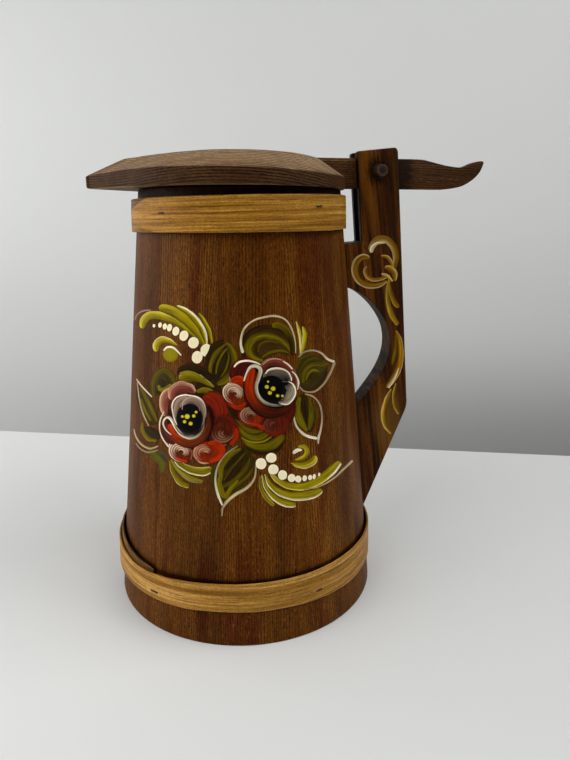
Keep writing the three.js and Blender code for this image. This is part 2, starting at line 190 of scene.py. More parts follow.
# soft changes of the stain's tone: angle, height, spread in degrees and mm, then how much red, green and blue are turned up
TINTS = [
    (-130, 175, 9, 60, .16, .16, .10), (-118, 160, 5, 45, .10, .12, .04), (-112, 25, 8, 42, -.20, -.26, -.16),
    (-110, 70, 4, 60, -.12, -.16, -.08), (-98, 185, 5, 40, -.10, -.14, -.10), (-86, 150, 3.2, 70, .10, .04, -.04),
    (-78, 160, 2.6, 55, .22, .06, -.06), (-69, 165, 3.4, 50, .26, .26, .04), (-64, 150, 2.5, 30, .18, .20, .02),
    (-99, 50, 5.5, 38, .26, .26, .10), (-88, 40, 3.5, 30, .12, .10, .0), (-80, 60, 2.6, 50, -.12, -.14, -.10),
    (-72, 62, 3.0, 40, .30, .28, .08), (-62, 52, 3.5, 34, .14, .14, .04), (-50, 120, 7, 60, -.04, -.03, .02),
    (-143, 60, 8, 80, .06, .0, .06), (-128, 55, 4, 40, .10, .08, .04), (-121, 98, 3, 40, -.08, -.10, -.06),
    (-46, 60, 4, 22, -.16, -.16, -.10), (-92, 110, 4, 60, .06, .04, .0),
    (-92, 178, 12, 60, -.16, -.24, -.30), (-62, 45, 12, 34, .30, .34, .30), (-152, 120, 12, 90, -.18, -.16, -.18),
    (-117, 30, 5, 22, -.14, -.16, -.12), (-104, 60, 3, 24, -.16, -.18, -.12), (-36, 130, 8, 60, .04, .06, .06),
    (-30, 90, 8, 70, .06, .04, .02), (40, 120, 12, 80, .10, .08, .02), (80, 60, 9, 60, -.10, -.12, -.08),
    (-50, 118, 2.6, 14, .14, .20, .45), (-33, 64, 9, 28, .22, .28, .34), (-36, 42, 2.2, 9, -.5, -.5, -.4), (-62, 46, 10, 30, .10, .14, .16),
    (120, 150, 10, 70, .12, .12, .04), (165, 100, 9, 90, -.06, -.08, -.04), (-165, 140, 7, 80, .08, .04, .02),
]


def tint_at(deg, z):
    c = np.ones((len(z), 3))
    for a, h, sa, sh, r, g, b in TINTS:
        d = (deg - a + 180) % 360 - 180
        w = np.exp(-((d / sa) ** 2) - ((z - h) / sh) ** 2)
        c += w[:, None] * np.array([r, g, b])
    # painted shade: the end of the barrel above the hoop lies in the lid's shadow, so it is made nearly black
    c *= (1 - 0.88 * ease((np.asarray(z) - 204.5) / 5.0))[:, None]      # the end of the barrel above the hoop is nearly black
    return c


def edge_by(h, a):
    """The hoop's section at an angle round the barrel; in the overlap the inner lap's."""
    t = (h["start"] - a) % 360
    return station(h, t)


def dirt_and_shade_at(deg, z):
    """Painted shade and grime, dark in the corner along the hoops' edges."""
    out = np.ones(len(z))
    for i, (a, h) in enumerate(zip(deg, z)):
        if 28 < h < 42:
            out[i] = 1 - 0.80 * math.exp(-max(0.0, h - edge_by(LOWER, a)["z1"] - 0.3) / 0.9)
        elif 186 < h < 200:
            out[i] = 1 - 0.55 * math.exp(-max(0.0, edge_by(UPPER, a)["z0"] - h - 0.2) / 0.7)
    return out


# each stave's own tone, and which way up its board stands
STAVES = [
    dict(tone=(1.00, .98, .96), turn=1),
    dict(tone=(1.08, 1.06, 1.00), turn=-1),
    dict(tone=(1.00, .95, .90), turn=1),
    dict(tone=(.99, .97, .95), turn=1),
    dict(tone=(.95, .91, .93), turn=-1),
    dict(tone=(1.03, 1.0, .95), turn=1),
    dict(tone=(.93, .92, .90), turn=1),
    dict(tone=(1.06, 1.02, .95), turn=-1),
    dict(tone=(.98, .96, .95), turn=1),
    dict(tone=(1.03, 1.0, .94), turn=-1),
    dict(tone=(.96, .94, .92), turn=1),
]


def stave_of(deg):
    """Which stave an angle falls on, and its share of the way across, from the first edge to the last."""
    a = (deg % 360) - 360
    edges = [0.0] + SEAMS + [-360.0]
    for k in range(11):
        if edges[k + 1] <= a <= edges[k]:
            return k, (edges[k] - a) / (edges[k] - edges[k + 1])
    return 10, 1.0


def face_r(deg, z):
    """The outer face of the planed and scraped barrel: a cone, a little uneven."""
    deg, z = np.broadcast_arrays(np.asarray(deg, float), np.asarray(z, float))
    out = np.empty(deg.shape)
    for i, (a, h) in enumerate(zip(deg.ravel(), z.ravel())):
        t = math.radians(a)
        _, k = stave_of(a)
        c, s = math.cos(t), math.sin(t)
        out.ravel()[i] = (outer_r(h) + 0.10 * wobble((c * 3.1, s * 3.1, h * 0.017)) + 0.05 * wobble((c * 9, s * 9, h * 0.006), 7.7)
                          - 0.10 * (2 * k - 1) ** 2 + 0.04)
    return out


def stave(index, name):
    """A stave between two seams. Its long edges are lightly rounded, so that the seam shows as a hair line."""
    info = STAVES[index]
    first = SEAMS[index - 1] if index > 0 else None
    last = SEAMS[index] if index < len(SEAMS) else None
    seam = 0.012                                     # half of the hair line, mm
    across = [0, 0.04, 0.12, 0.3, 0.8]               # mm from the edge, and how far the face drops there
    drops = [0.10, 0.035, 0.010, 0.002, 0.0]

    def edge_angle(which, r):
        if which is None:                            # beside the handle stave: a plane parallel to the plank
            side = -1 if index == 0 else 1
            return math.degrees(math.asin(side * (7.5 + 2 * seam) / r))
        return which

    pts = []
    mid_r = outer_r(100)
    a_hi = edge_angle(first, mid_r) if index > 0 else edge_angle(None, mid_r)
    a_lo = edge_angle(last, mid_r) if last is not None else edge_angle(None, mid_r) - 360
    span = math.radians(abs(a_hi - a_lo)) * mid_r
    inner_cols = max(8, int(round(span / 1.5)))
    s_list = [(x, d) for x, d in zip(across, drops)] + \
             [(across[-1] + (span - 2 * across[-1]) * i / inner_cols, 0.0) for i in range(1, inner_cols)] + \
             [(span - x, d) for x, d in zip(reversed(across), reversed(drops))]
    n = len(PROFILE)
    centre = math.radians((a_hi + a_lo) / 2)
    grain, tint = [], []
    for s, drop in s_list:
        for kind, z, d in PROFILE:
            r = outer_r(z) + d - drop if kind == "o" else inner_r(z) + d + drop * 0.5
            hi = edge_angle(first, r) if first is not None else edge_angle(None, r)
            lo = edge_angle(last, r) if last is not None else edge_angle(None, r) - 360
            k = s / span
            back = math.degrees(seam / r)
            a = (hi - back) + ((lo + back) - (hi - back)) * k
            t = math.radians(a)
            if kind == "o" and 0.5 < z < RIM - 0.5:
                r += float(face_r(a, z)) - outer_r(z)
            x, y = r * math.cos(t), r * math.sin(t)
            pts.append((x, y, z))
            rel = t - centre
            grain.append((r * math.sin(rel) * info["turn"] + 60.0 * index, r * math.cos(rel) - mid_r + (z - 100) * 0.012,
                          z * info["turn"] + 310.0 * index))
            tint.append((a, z, kind == "o"))
    faces = grid_faces(len(s_list), n, closed_cols=True)
    faces.append(tuple(range(n)))
    faces.append(tuple(reversed(range((len(s_list) - 1) * n, len(s_list) * n))))
    ob = new_object(name, pts, faces, sharp=42)
    fix_normals(ob)
    give(ob, "wood", grain)
    tint = np.array(tint)
    dirt_and_shade = np.where(tint[:, 2] > 0, dirt_and_shade_at(tint[:, 0], tint[:, 1]), 1.0)[:, None]
    give(ob, "tint", np.column_stack([tint_at(tint[:, 0], tint[:, 1]) * np.array(info["tone"]) * dirt_and_shade, np.ones(len(tint))]), "FLOAT_COLOR")
    return ob


def fix_normals(ob):
    """Turns the faces outwards if the closed mesh is inside out."""
    me = ob.data
    me.calc_loop_triangles()
    co = np.zeros(len(me.vertices) * 3)
    me.vertices.foreach_get("co", co)
    co = co.reshape(-1, 3)
    tri = np.zeros(len(me.loop_triangles) * 3, np.int32)
    me.loop_triangles.foreach_get("vertices", tri)
    t = co[tri.reshape(-1, 3)]
    if np.einsum("ij,ij->i", t[:, 0], np.cross(t[:, 1], t[:, 2])).sum() < 0:
        me.flip_normals()
    return ob


# ------------------------------------------------------------------ flat plates with eased edges, cut to an outline
def layered(name, contours, half, inset, sharp=32):
    """contours: lists of (kind, x, z); kind 'p' is the plank's edge and is eased towards the faces; kinds 'o' and 'i' follow
    the barrel's outer or inner face, x holding the depth from it. The first contour is the outside, the others are holes."""
    ys = [half, half - 0.06, half - 0.2, half - 0.42, half - 0.75, half * 0.66, half * 0.33]
    ins = [inset, inset * 0.72, inset * 0.38, inset * 0.12, 0.0, 0.0, 0.0]
    layers = [(-y, i) for y, i in zip(ys, ins)] + [(0.0, 0.0)] + [(y, i) for y, i in zip(reversed(ys), reversed(ins))]
    verts, faces, rims = [], [], []
    for ci, contour in enumerate(contours):
        n = len(contour)
        flat = np.array([place(c, 0.0) for c in contour])
        nxt, prv = np.roll(flat, -1, 0), np.roll(flat, 1, 0)
        tangent = nxt - prv
        tangent /= np.maximum(np.linalg.norm(tangent, axis=1, keepdims=True), 1e-9)
        normal = np.column_stack([-tangent[:, 1], tangent[:, 0]])
        area = 0.5 * np.sum(flat[:, 0] * nxt[:, 1] - nxt[:, 0] * flat[:, 1])
        if (area < 0) != (ci > 0):
            normal = -normal
        soft = np.array([1.0 if c[0] == "p" else 0.0 for c in contour])
        for _ in range(2):
            soft = np.minimum(soft, (np.roll(soft, 1) + np.roll(soft, -1) + 1.0) / 3 + 0.001)
        soft = np.where(np.array([c[0] == "p" for c in contour]), soft, 0.0)
        start = len(verts)
        for y, i in layers:
            for k, c in enumerate(contour):
                x, z = place(c, y, drop=0.22 * i / max(inset, 1e-6))
                x += normal[k, 0] * i * soft[k]
                z += normal[k, 1] * i * soft[k]
                verts.append((x, y, z))
        faces += grid_faces(len(layers), n, closed_cols=True, start=start)
        rims.append((start, n))
    for layer in (0, len(layers) - 1):
        rings, index = [], []
        for start, n in rims:
            ids = [start + layer * n + k for k in range(n)]
            index += ids
            rings.append([Vector((verts[i][0], verts[i][2], 0)) for i in ids])
        for tri in geometry.tessellate_polygon(rings):
            faces.append(tuple(index[t] for t in (tri if layer else reversed(tri))))
    me_faces = faces
    ob = new_object(name, verts, me_faces)
    import bmesh
    bm = bmesh.new()
    bm.from_mesh(ob.data)
    bmesh.ops.recalc_face_normals(bm, faces=bm.faces)
    bm.to_mesh(ob.data)
    bm.free()
    fix_normals(ob)
    ob.data.shade_smooth()
    ob.data.set_sharp_from_angle(angle=math.radians(sharp))
    return ob


def place(c, y, drop=0.0):
    kind, x, z = c
    if kind == "p":
        return x, z
    if kind == "o":
        return math.sqrt((outer_r(z) + x - drop) ** 2 - y * y), z
    return math.sqrt((inner_r(z) + x) ** 2 - y * y), z


def cutter_box(x0, x1, y0, y1, z0, z1):
    v = [(x, y, z) for z in (z0, z1) for y in (y0, y1) for x in (x0, x1)]
    f = [(0, 2, 3, 1), (4, 5, 7, 6), (0, 1, 5, 4), (2, 6, 7, 3), (0, 4, 6, 2), (1, 3, 7, 5)]
    return new_object("cutter", v, f)


def cutter_bar(x, z, r, y0, y1, n=56):
    v = [(x + r * math.cos(2 * math.pi * i / n), y, z + r * math.sin(2 * math.pi * i / n)) for y in (y0, y1) for i in range(n)]
    f = [(i, (i + 1) % n, n + (i + 1) % n, n + i) for i in range(n)] + [tuple(reversed(range(n))), tuple(range(n, 2 * n))]
    ob = new_object("cutter", v, f)
    return fix_normals(ob)


LEAN = 0.0906
PEG = (70.5, 223.6)


def post_in(z):
    return 58.6 + LEAN * (232.7 - z)


def post_out(z):
    return 80.6 + LEAN * (229.9 - z)


FINGER = [(59.5, 94.2), (62.9, 98.0), (67.7, 103.9), (72.6, 110.6), (75.9, 115.7), (78.0, 119.8), (79.6, 123.9), (80.6, 128.2),
          (81.0, 132.4), (80.75, 136.6), (79.8, 140.8), (78.0, 145.2), (75.3, 149.6), (71.5, 154.3), (66.9, 158.6),
          (61.3, 162.4), (54.6, 165.1)]


def handle_grain(x, z):
    """Across and along the plank's grain."""
    lean = math.atan(LEAN)
    u, w = x * math.cos(lean) + (z - 100) * math.sin(lean), -x * math.sin(lean) + (z - 100) * math.cos(lean)
    return u - 30.0 + w * 0.035, w + 5000


def handle():
    c = [("i", 0.5, 0.0), ("i", 0.1, 0.3), ("i", 0.0, 0.9), ("i", 0.0, CROZE[0] - 0.05), ("i", CROZE[2], CROZE[0]),
         ("i", CROZE[2], CROZE[1]), ("i", 0.0, CROZE[1] + 0.05)]
    c += [("i", 0.0, float(z)) for z in np.arange(18, RIM - 4, 8.0)]
    c += [("i", 0.02, RIM - 1.4), ("i", 0.25, RIM - 0.9), ("i", 1.05, RIM - 0.1), ("i", 1.45, RIM), ("o", -0.75, RIM),
          ("o", -0.38, RIM - 0.12), ("o", -0.12, RIM - 0.45), ("o", -0.02, RIM - 0.9)]
    c += [("o", 0.0, float(z)) for z in np.arange(RIM - 4, 190, -4.0)]
    c += [("o", 0.0, 188.2)]
    p = [(53.6, 187.62), (55.5, 187.8), (58.0, 188.05)] + quad((61.7, 188.35), (62.6, 188.5), (62.52, 189.4), 5)
    p += line((post_in(192), 192), (post_in(231), 231), 4.0)
    p += quad((post_in(232), 232.0), (58.7, 233.05), (59.7, 233.15), 5)
    p += line((62, 233.4), (76, 234.93), 4.0)
    p += quad((78.0, 235.15), (79.75, 235.3), (post_out(233.2), 233.2), 6)
    p += line((post_out(230), 230), (post_out(104), 104), 4.0)
    p += quad((post_out(101.5), 101.5), (93.0, 97.4), (91.3, 93.2), 7)
    p += line((90.3, 90.6), (70.4, 39.9), 4.0)
    p += [(69.35, 37.4), (69.0, 36.5), (68.75, 35.9)]
    c += [("p", float(x), float(z)) for x, z in p]
    c += [("o", 0.0, float(z)) for z in np.arange(34.6, 3.0, -3.5)]
    c += [("o", -0.02, 0.6), ("o", -0.15, 0.25), ("o", -0.4, 0.06), ("o", -0.75, 0.0)]
    hole = [q for q in catmull(FINGER, 6) if q[0] > outer_r(q[1]) + 0.55]
    h = [("p", float(x), float(z)) for x, z in hole]
    top, low = hole[-1][1] + 0.25, hole[0][1] - 0.45
    h += [("o", 0.0, float(z)) for z in np.linspace(top, low, 18)]
    ob = layered("handle_stave_wood", [c, h], 7.5, 0.62)
    boolean(ob, cutter_box(56, 94, -3.8, 3.8, 188.6, 262))
    boolean(ob, cutter_bar(PEG[0], PEG[1], 3.42, -20, 20))
    co = coords(ob)
    # the plank's grain runs along the handle; x across it, y through its thickness
    across, along = handle_grain(co[:, 0], co[:, 2])
    give(ob, "wood", np.column_stack([co[:, 1] * 0.35 + 10.125, across, along]))
    t = np.ones((len(co), 4))
    # painted shade: the handle stave's end above the hoop, under the lid, is made nearly black, as on the barrel
    t[:, :3] *= (1 - 0.88 * ease((co[:, 2] - 204.5) / 5.0) * (co[:, 0] < 58))[:, None]
    # painted shade: the faces in the slot between the barrel and the post are made nearly black
    notch = (co[:, 2] > 187.4) & (co[:, 0] > 50) & (co[:, 0] < 62.9 + (co[:, 2] - 190) * -0.06) & (np.abs(co[:, 1]) < 7.2)
    t[:, :3] *= np.where(notch, 0.12, 1.0)[:, None]
    # painted sheen: the finger hole's inner faces are turned grey-blue, a painted reflection of the pale room
    wall = (np.abs(co[:, 1]) < 7.2) & (co[:, 2] > 93.5) & (co[:, 2] < 165.4) & (co[:, 0] > outer_r(co[:, 2]) + 0.4) & (co[:, 0] < 82.0)
    t[:, :3] *= np.where(wall[:, None], np.array([1.0, 1.5, 3.9]), 1.0)
    give(ob, "tint", t, "FLOAT_COLOR")
    return ob


# ------------------------------------------------------------------ hoops: split strips, wound once round with their ends overlapping
STRIP, HOOP_LEAN, LAYER_GAP = 1.1, 0.035, 0.2
UPPER = dict(dirt_and_shade=0.48, dark_until=4, tone=(1.04, 1.05, 1.15), z0=194.2, z1=210.3, tilt=0.022, start=-55, sweep=469.5, rise=0.0,
             start_top=(10, 3.2), start_low=(10, 3.2), end_top=(18, 4.8), end_low=(25, 4.0),
             edges=[(0, 0, 0), (45, .4, 0), (80, .75, 0), (120, .75, 0), (180, .4, 0), (260, 0, 0), (360, 0, 0), (405, .4, 0),
                    (440, .75, 0), (480, .75, 0)], bulge=0.8, bulge_at=-177)
LOWER = dict(dirt_and_shade=0.55, dark_until=-14, tone=(1.07, 1.12, 1.75), z0=18.7, z1=33.0, tilt=0.015, start=-138, sweep=429.5, rise=4.7,
             start_top=(3, 0.8), start_low=(14, 6.5), end_top=(16, 3.6), end_low=(16, 3.6),
             edges=[(0, 0, 0), (130, -.4, 0), (160, -1.6, .2), (222, -2.9, .4), (250, -2.9, .5), (266, -2.5, .6), (281, -1.9, .6),
                    (293, -1.2, .4), (306, -.4, .4), (331, 0, .3), (345, -.2, .1), (353, -.3, -.6), (362, -.4, -1.6),
                    (373, -.8, -1.9), (384, -1.3, -1.2), (397, -1.5, -.4), (430, -1.5, 0)], bulge=0.0, bulge_at=0)


def row_at(rows, t):
    i = 1
    while i < len(rows) - 1 and t > rows[i][0]:
        i += 1
    a, b = rows[i - 1], rows[i]
    k = float(ease((t - a[0]) / (b[0] - a[0])))
    return [v + (w - v) * k for v, w in zip(a, b)]


def station(h, t):
    left, angle = h["sweep"] - t, h["start"] - t
    away = (angle - h["bulge_at"] + 180) % 360 - 180
    off = GAP + (STRIP + LAYER_GAP) * float(ease((t - 326) / 26)) + h["bulge"] * math.exp(-((away / 32) ** 2))
    lift = h["rise"] * (1 - float(ease((t - 60) / 150))) * (0.12 + 0.88 * float(ease(t / 46)))
    x = math.cos(math.radians(angle)) * outer_r((h["z0"] + h["z1"]) / 2)
    _, low, top = row_at(h["edges"], t)
    foot, head = h["z0"] + h["tilt"] * x + lift + low, h["z1"] + h["tilt"] * x + lift + top

    def cut(c, at):
        return c[1] * max(0.0, 1 - at / c[0])
    return dict(angle=angle, off=off, foot=foot, z0=foot + cut(h["start_low"], t) + cut(h["end_low"], left),
                z1=head - cut(h["start_top"], t) - cut(h["end_top"], left))


def hoop(name, h, seed):
    n = int(h["sweep"] / 1.25)
    stations = [station(h, h["sweep"] * i / n) for i in range(n + 1)]
    # once round the strip's section: share of the height, mm from that edge, share of the thickness
    ring = []
    e = 0.34
    ring += [(0, e, 0.0), (0, 0.08, 0.12), (0, 0.0, 0.34), (0, 0.0, 0.66), (0, 0.10, 0.90), (0, e, 1.0)]
    ring += [(s, 0.0, 1.0) for s in (0.16, 0.32, 0.5, 0.68, 0.84)]
    ring += [(1, -e, 1.0), (1, -0.10, 0.90), (1, 0.0, 0.66), (1, 0.0, 0.34), (1, -0.08, 0.12), (1, -e, 0.0)]
    ring += [(s, 0.0, 0.0) for s in (0.75, 0.5, 0.25)]
    verts, grain, m = [], [], len(ring)
    length = 0.0
    for i, s in enumerate(stations):
        a = math.radians(s["angle"])
        t = h["sweep"] * i / n
        thin = 1.0 - 0.35 * max(0.0, 1 - t / 9) - 0.25 * max(0.0, 1 - (h["sweep"] - t) / 7)
        rough0 = 0.10 * noise.noise(Vector((t * 0.09, seed, 0.0))) + 0.05 * noise.noise(Vector((t * 0.33, seed, 3.0)))
        rough1 = 0.10 * noise.noise(Vector((t * 0.08, seed, 9.0))) + 0.05 * noise.noise(Vector((t * 0.29, seed, 5.0)))
        for share, mm, thick in ring:
            z0, z1 = s["z0"] + 0.05 + rough0, s["z1"] - 0.05 + rough1
            z = (z0 + (z1 - z0) * share if 0 < share < 1 else (z0 if share == 0 else z1)) + mm
            base = outer_r(s["foot"]) - HOOP_LEAN * (z - s["foot"]) + s["off"]
            crown = 0.0
            if thick == 1.0 and 0 < share < 1:
                crown = 0.10 * math.sin(math.pi * share) + 0.06 * noise.noise(Vector((t * 0.05, share * 3.1, seed + 20)))
            r = base + STRIP * thick * thin + crown * 0.6 + (0.02 if thick == 0.0 else 0.0)
            verts.append((r * math.cos(a), r * math.sin(a), z))
            grain.append((z - h["tilt"] * math.cos(a) * 60, thick * 1.1 + 8 + seed, -length + 700 * seed))
        length += math.radians(h["sweep"] / n) * outer_r(s["foot"])
    faces = grid_faces(len(stations), m, closed_cols=True)
    faces.append(tuple(range(m)))
    faces.append(tuple(reversed(range((len(stations) - 1) * m, len(stations) * m))))
    ob = new_object(name, verts, faces, sharp=50)
    fix_normals(ob)
    give(ob, "wood", grain)
    ends = []
    for i in range(len(stations)):
        t = h["sweep"] * i / n
        d = 1 - 0.10 * math.exp(-((h["sweep"] - t) / 9.0) ** 2)
        lap = h["sweep"] - 360.0
        back = 1 - h["dirt_and_shade"] * (1 - float(ease((t - lap - h["dark_until"]) / 12)))      # the inner lap is made darker and greyer, for grime and painted shade under the outer lap, and shows only beside the outer end
        r, g, b = h["tone"]
        ends += [(d * back * r, d * back * 0.98 * g, d * (back + (1 - back) * 0.2) * b, 1.0)] * m
    give(ob, "tint", ends, "FLOAT_COLOR")
    return ob


# ------------------------------------------------------------------ staples: flat wire, bent over and driven in
STAPLES = [("upper_hoop_staple_left", UPPER, -135.55, 202.6, 3.7), ("upper_hoop_staple_right", UPPER, -56.65, 205.5, 4.2),
           ("lower_hoop_staple_left", LOWER, -136.0, 21.8, 5.4), ("lower_hoop_staple_right", LOWER, -66.4, 22.85, 4.0)]


def outer_face(h, angle):
    """Radius function of the outermost layer at an angle."""
    best = None
    for turn in (0, 1):
        t = (h["start"] - angle) % 360 + 360 * turn
        if 0 <= t <= h["sweep"]:
            s = station(h, t)
            if best is None or s["off"] > best["off"]:
                best = s
    return lambda z: outer_r(best["foot"]) - HOOP_LEAN * (z - best["foot"]) + best["off"] + STRIP


def staple(name, h, angle, z, length):
    a = math.radians(angle)
    out, along = np.array([math.cos(a), math.sin(a), 0]), np.array([-math.sin(a), math.cos(a), 0])
    up = np.array([0, 0, 1.0]) - out * HOOP_LEAN
    slope = -h["tilt"] * math.sin(a)
    along = along + up * slope
    along /= np.linalg.norm(along)
    up = np.cross(out, along)
    up /= np.linalg.norm(up)
    origin = out * outer_face(h, angle)(z) + np.array([0, 0, z])
    half, bend, high = length / 2 - 0.25, 0.42, 0.34
    path = [(-half, -4.9), (-half, -1.5), (-half, high - bend)]
    path += [(-half + bend - bend * math.cos(q), high - bend + bend * math.sin(q)) for q in np.radians([30, 60])]
    path += [(-half + bend, high), (-half * 0.3, high + 0.03), (half * 0.35, high + 0.02), (half - bend, high)]
    path += [(half - bend + bend * math.sin(q), high - bend + bend * math.cos(q)) for q in np.radians([30, 60])]
    path += [(half, high - bend), (half, -1.5), (half, -4.9)]
    path = np.array(path)
    verts, n = [], 10
    for i, p in enumerate(path):
        d = path[min(i + 1, len(path) - 1)] - path[max(i - 1, 0)]
        d /= np.linalg.norm(d)
        nrm = np.array([-d[1], d[0]])
        leg = 1.0 if abs(p[0]) < half - bend * 0.6 else 0.66
        for k in range(n):
            q = 2 * math.pi * (k + 0.5) / n
            cx, cy = math.copysign(abs(math.cos(q)) ** 0.6, math.cos(q)), math.copysign(abs(math.sin(q)) ** 0.6, math.sin(q))
            w, t = 0.38 * leg * cx, 0.21 * cy
            v = origin + along * (p[0] + nrm[0] * t) + out * (p[1] + nrm[1] * t) + up * w
            verts.append(v)
    faces = grid_faces(len(path), n, closed_cols=True)
    faces += [tuple(reversed(range(n))), tuple(range((len(path) - 1) * n, len(path) * n))]
    return fix_normals(new_object(name + "_wire", verts, faces, sharp=50))


# ------------------------------------------------------------------ lid and lever
BEVEL_LOW = [(-74.4, 219.6), (-66, 220.6), (-55, 221.4), (-40, 221.65), (-15, 221.4), (4, 221.1), (22, 220.4), (37, 219.8), (60, 219.8)]
BEVEL_HIGH = [(-55.9, 228.0), (-45, 228.9), (-32, 229.6), (-18, 229.8), (0, 229.7), (12, 229.55), (21, 229.35), (31, 228.8), (45, 228.7)]
LID_Z0, LEVER_Z0, LEVER_Z1, CROWN_Z = 214.2, 215.2, 230.1, 230.0


def height_at(table, x):
    return float(np.interp(x, [p[0] for p in table], [p[1] for p in table]))


def pear(r, cx, tip, tip_w, arc=110, straight=10):
    """Counter-clockwise outline: the round, then the straight sides to a blunt tip."""
    d = math.hypot(cx - tip, tip_w)
    start = math.atan2(tip_w, tip - cx) - math.acos(r / d)
    pts = [(cx + r * math.cos(a), r * math.sin(a)) for a in np.linspace(-start, start, arc + 1)]
    upper = line(pts[-1], (tip + 1.6, tip_w + 0.05), 1e9)
    side = [tuple(np.array(pts[-1]) + (np.array([tip + 1.5, tip_w + 0.1]) - np.array(pts[-1])) * k / straight) for k in range(1, straight + 1)]
    corner = [tuple(q) for q in quad((tip + 1.5, tip_w + 0.1), (tip + 0.15, tip_w), (tip, tip_w - 1.3), 4)[1:]]
    half = side + corner + [(tip, (tip_w - 1.3) * 0.4)]
    return pts + half + [(x, -y) for x, y in reversed(half)]


def lid():
    edge = np.array(pear(56.5, -3.9, -74.4, 5.4))
    crown = np.array(pear(38.5, 0.8, -55.9, 4.3))
    n = len(edge)
    centre = np.array([-6.0, 0.0])
    inward = centre - edge
    inward /= np.linalg.norm(inward, axis=1, keepdims=True)
    low = np.array([height_at(BEVEL_LOW, x) for x, _ in edge])
    high = np.array([height_at(BEVEL_HIGH, x) for x, _ in crown])
    rings = []

    def add_ring(xy, z):
        z = np.broadcast_to(z, (n,))
        rings.append(np.column_stack([xy, z]))
    wave = np.array([noise.noise(Vector((x * 0.045, y * 0.045, 4.2))) for x, y in edge])
    for k in (0.0, 0.35, 0.7):
        add_ring(centre + (edge - centre) * (0.02 + k), LID_Z0 + 0.0)
    add_ring(edge + inward * 1.2, LID_Z0)
    add_ring(edge + inward * 0.55, LID_Z0 + 0.02)
    add_ring(edge + inward * 0.2, LID_Z0 + 0.16)
    add_ring(edge + inward * 0.03, LID_Z0 + 0.5)
    for k in (0.25, 0.5, 0.75):
        add_ring(edge + inward * 0.02 * (1 + wave[:, None]), LID_Z0 + (low - LID_Z0) * k)
    add_ring(edge, low - 0.75)
    add_ring(edge + inward * 0.05, low - 0.30)
    add_ring(edge + inward * 0.26 + (crown - edge) * 0.004, low + 0.0)
    add_ring(edge + (crown - edge) * 0.05, low + (high - low) * 0.052 - 0.04)
    for k in (0.2, 0.4, 0.6, 0.8):
        hollow = 0.10 * wave * math.sin(math.pi * k)
        add_ring(edge + (crown - edge) * k, low + (high - low) * k + hollow)
    add_ring(edge + (crown - edge) * 0.955, low + (high - low) * 0.952)
    add_ring(edge + (crown - edge) * 0.99, low + (high - low) * 0.980)
    k3 = [0.965, 0.92, 0.84, 0.68, 0.5, 0.3, 0.02]
    for k in k3:
        c = np.array([-3.0, 0.0])
        xy = c + (crown - c) * k
        add_ring(xy, CROWN_Z - (CROWN_Z - high) * k ** 3)
    verts = np.vstack(rings)
    faces = grid_faces(len(rings), n, closed_cols=True)
    faces.append(tuple(reversed(range(n))))
    faces.append(tuple(range((len(rings) - 1) * n, len(rings) * n)))
    ob = fix_normals(new_object("lid_wood", verts, faces, sharp=60))
    p = [(18.0, LEVER_Z0)] + [tuple(q) for q in line((24, LEVER_Z0), (104, LEVER_Z0), 4.0)]
    p += [tuple(q) for q in catmull([(108.5, 215.2), (113.6, 215.8), (118.4, 216.9), (122.3, 218.8), (125.7, 221.3), (128.2, 224.2), (129.6, 227.3)], 4)]
    p += [tuple(q) for q in catmull([(130.05, 228.8), (129.4, 229.65), (127.2, 229.6), (124.2, 228.8), (120.6, 227.3), (117.6, 226.5), (114.5, 226.5), (109.6, 227.1), (103.5, 228.3), (97.6, 229.6), (94.5, 230.0)], 4)]
    p += [tuple(q) for q in line((90, LEVER_Z1), (32, LEVER_Z1), 4.0)] + [(18.0, CROWN_Z - 0.35)]
    lever = layered("lever", [[("p", float(x), float(z)) for x, z in p]], 3.5, 0.5)
    boolean(ob, lever, "UNION", sharp=34)
    boolean(ob, cutter_bar(PEG[0], PEG[1], 3.36, -20, 20), sharp=34)
    co = coords(ob)
    # a plank sawn from beside the pith: the rings curve upward to the sides, their centre far above the lid
    give(ob, "wood", np.column_stack([co[:, 1] + 0.02 * co[:, 0], co[:, 2] - 214.0 - 280.0 + 0.03 * co[:, 0], co[:, 0] + 900.0]))
    # painted light: faces turned up are made paler and greyer, a painted sheen of the light above, and faces turned
    # down under the lid likewise, a painted reflection of the pale room
    up = np.zeros(len(co) * 3)
    ob.data.vertices.foreach_get("normal", up)
    top_sheen = ease((up.reshape(-1, 3)[:, 2] - 0.55) / 0.3) * (co[:, 0] < 50)
    under = ease((-up.reshape(-1, 3)[:, 2] - 0.9) / 0.08) * (co[:, 0] < 50)
    tone_and_sheen = np.where(co[:, 0] > 50, 0.76, 0.72) + 2.3 * top_sheen + 2.2 * under
    pale = np.maximum(top_sheen, under)
    band, arm = (1 - pale) * (co[:, 0] < 50), co[:, 0] > 50
    tone_and_sheen *= 1 + 0.10 * arm + 0.12 * band * ease((co[:, 0] - 12) / 25)
    green = (1 + 0.27 * pale) * (1 - 0.08 * band - 0.11 * arm)
    blue = (1 + 0.66 * pale) * (1 - 0.24 * band - 0.38 * arm)
    give(ob, "tint", np.column_stack([tone_and_sheen, tone_and_sheen * green, tone_and_sheen * blue, np.ones(len(co))]), "FLOAT_COLOR")
    return ob


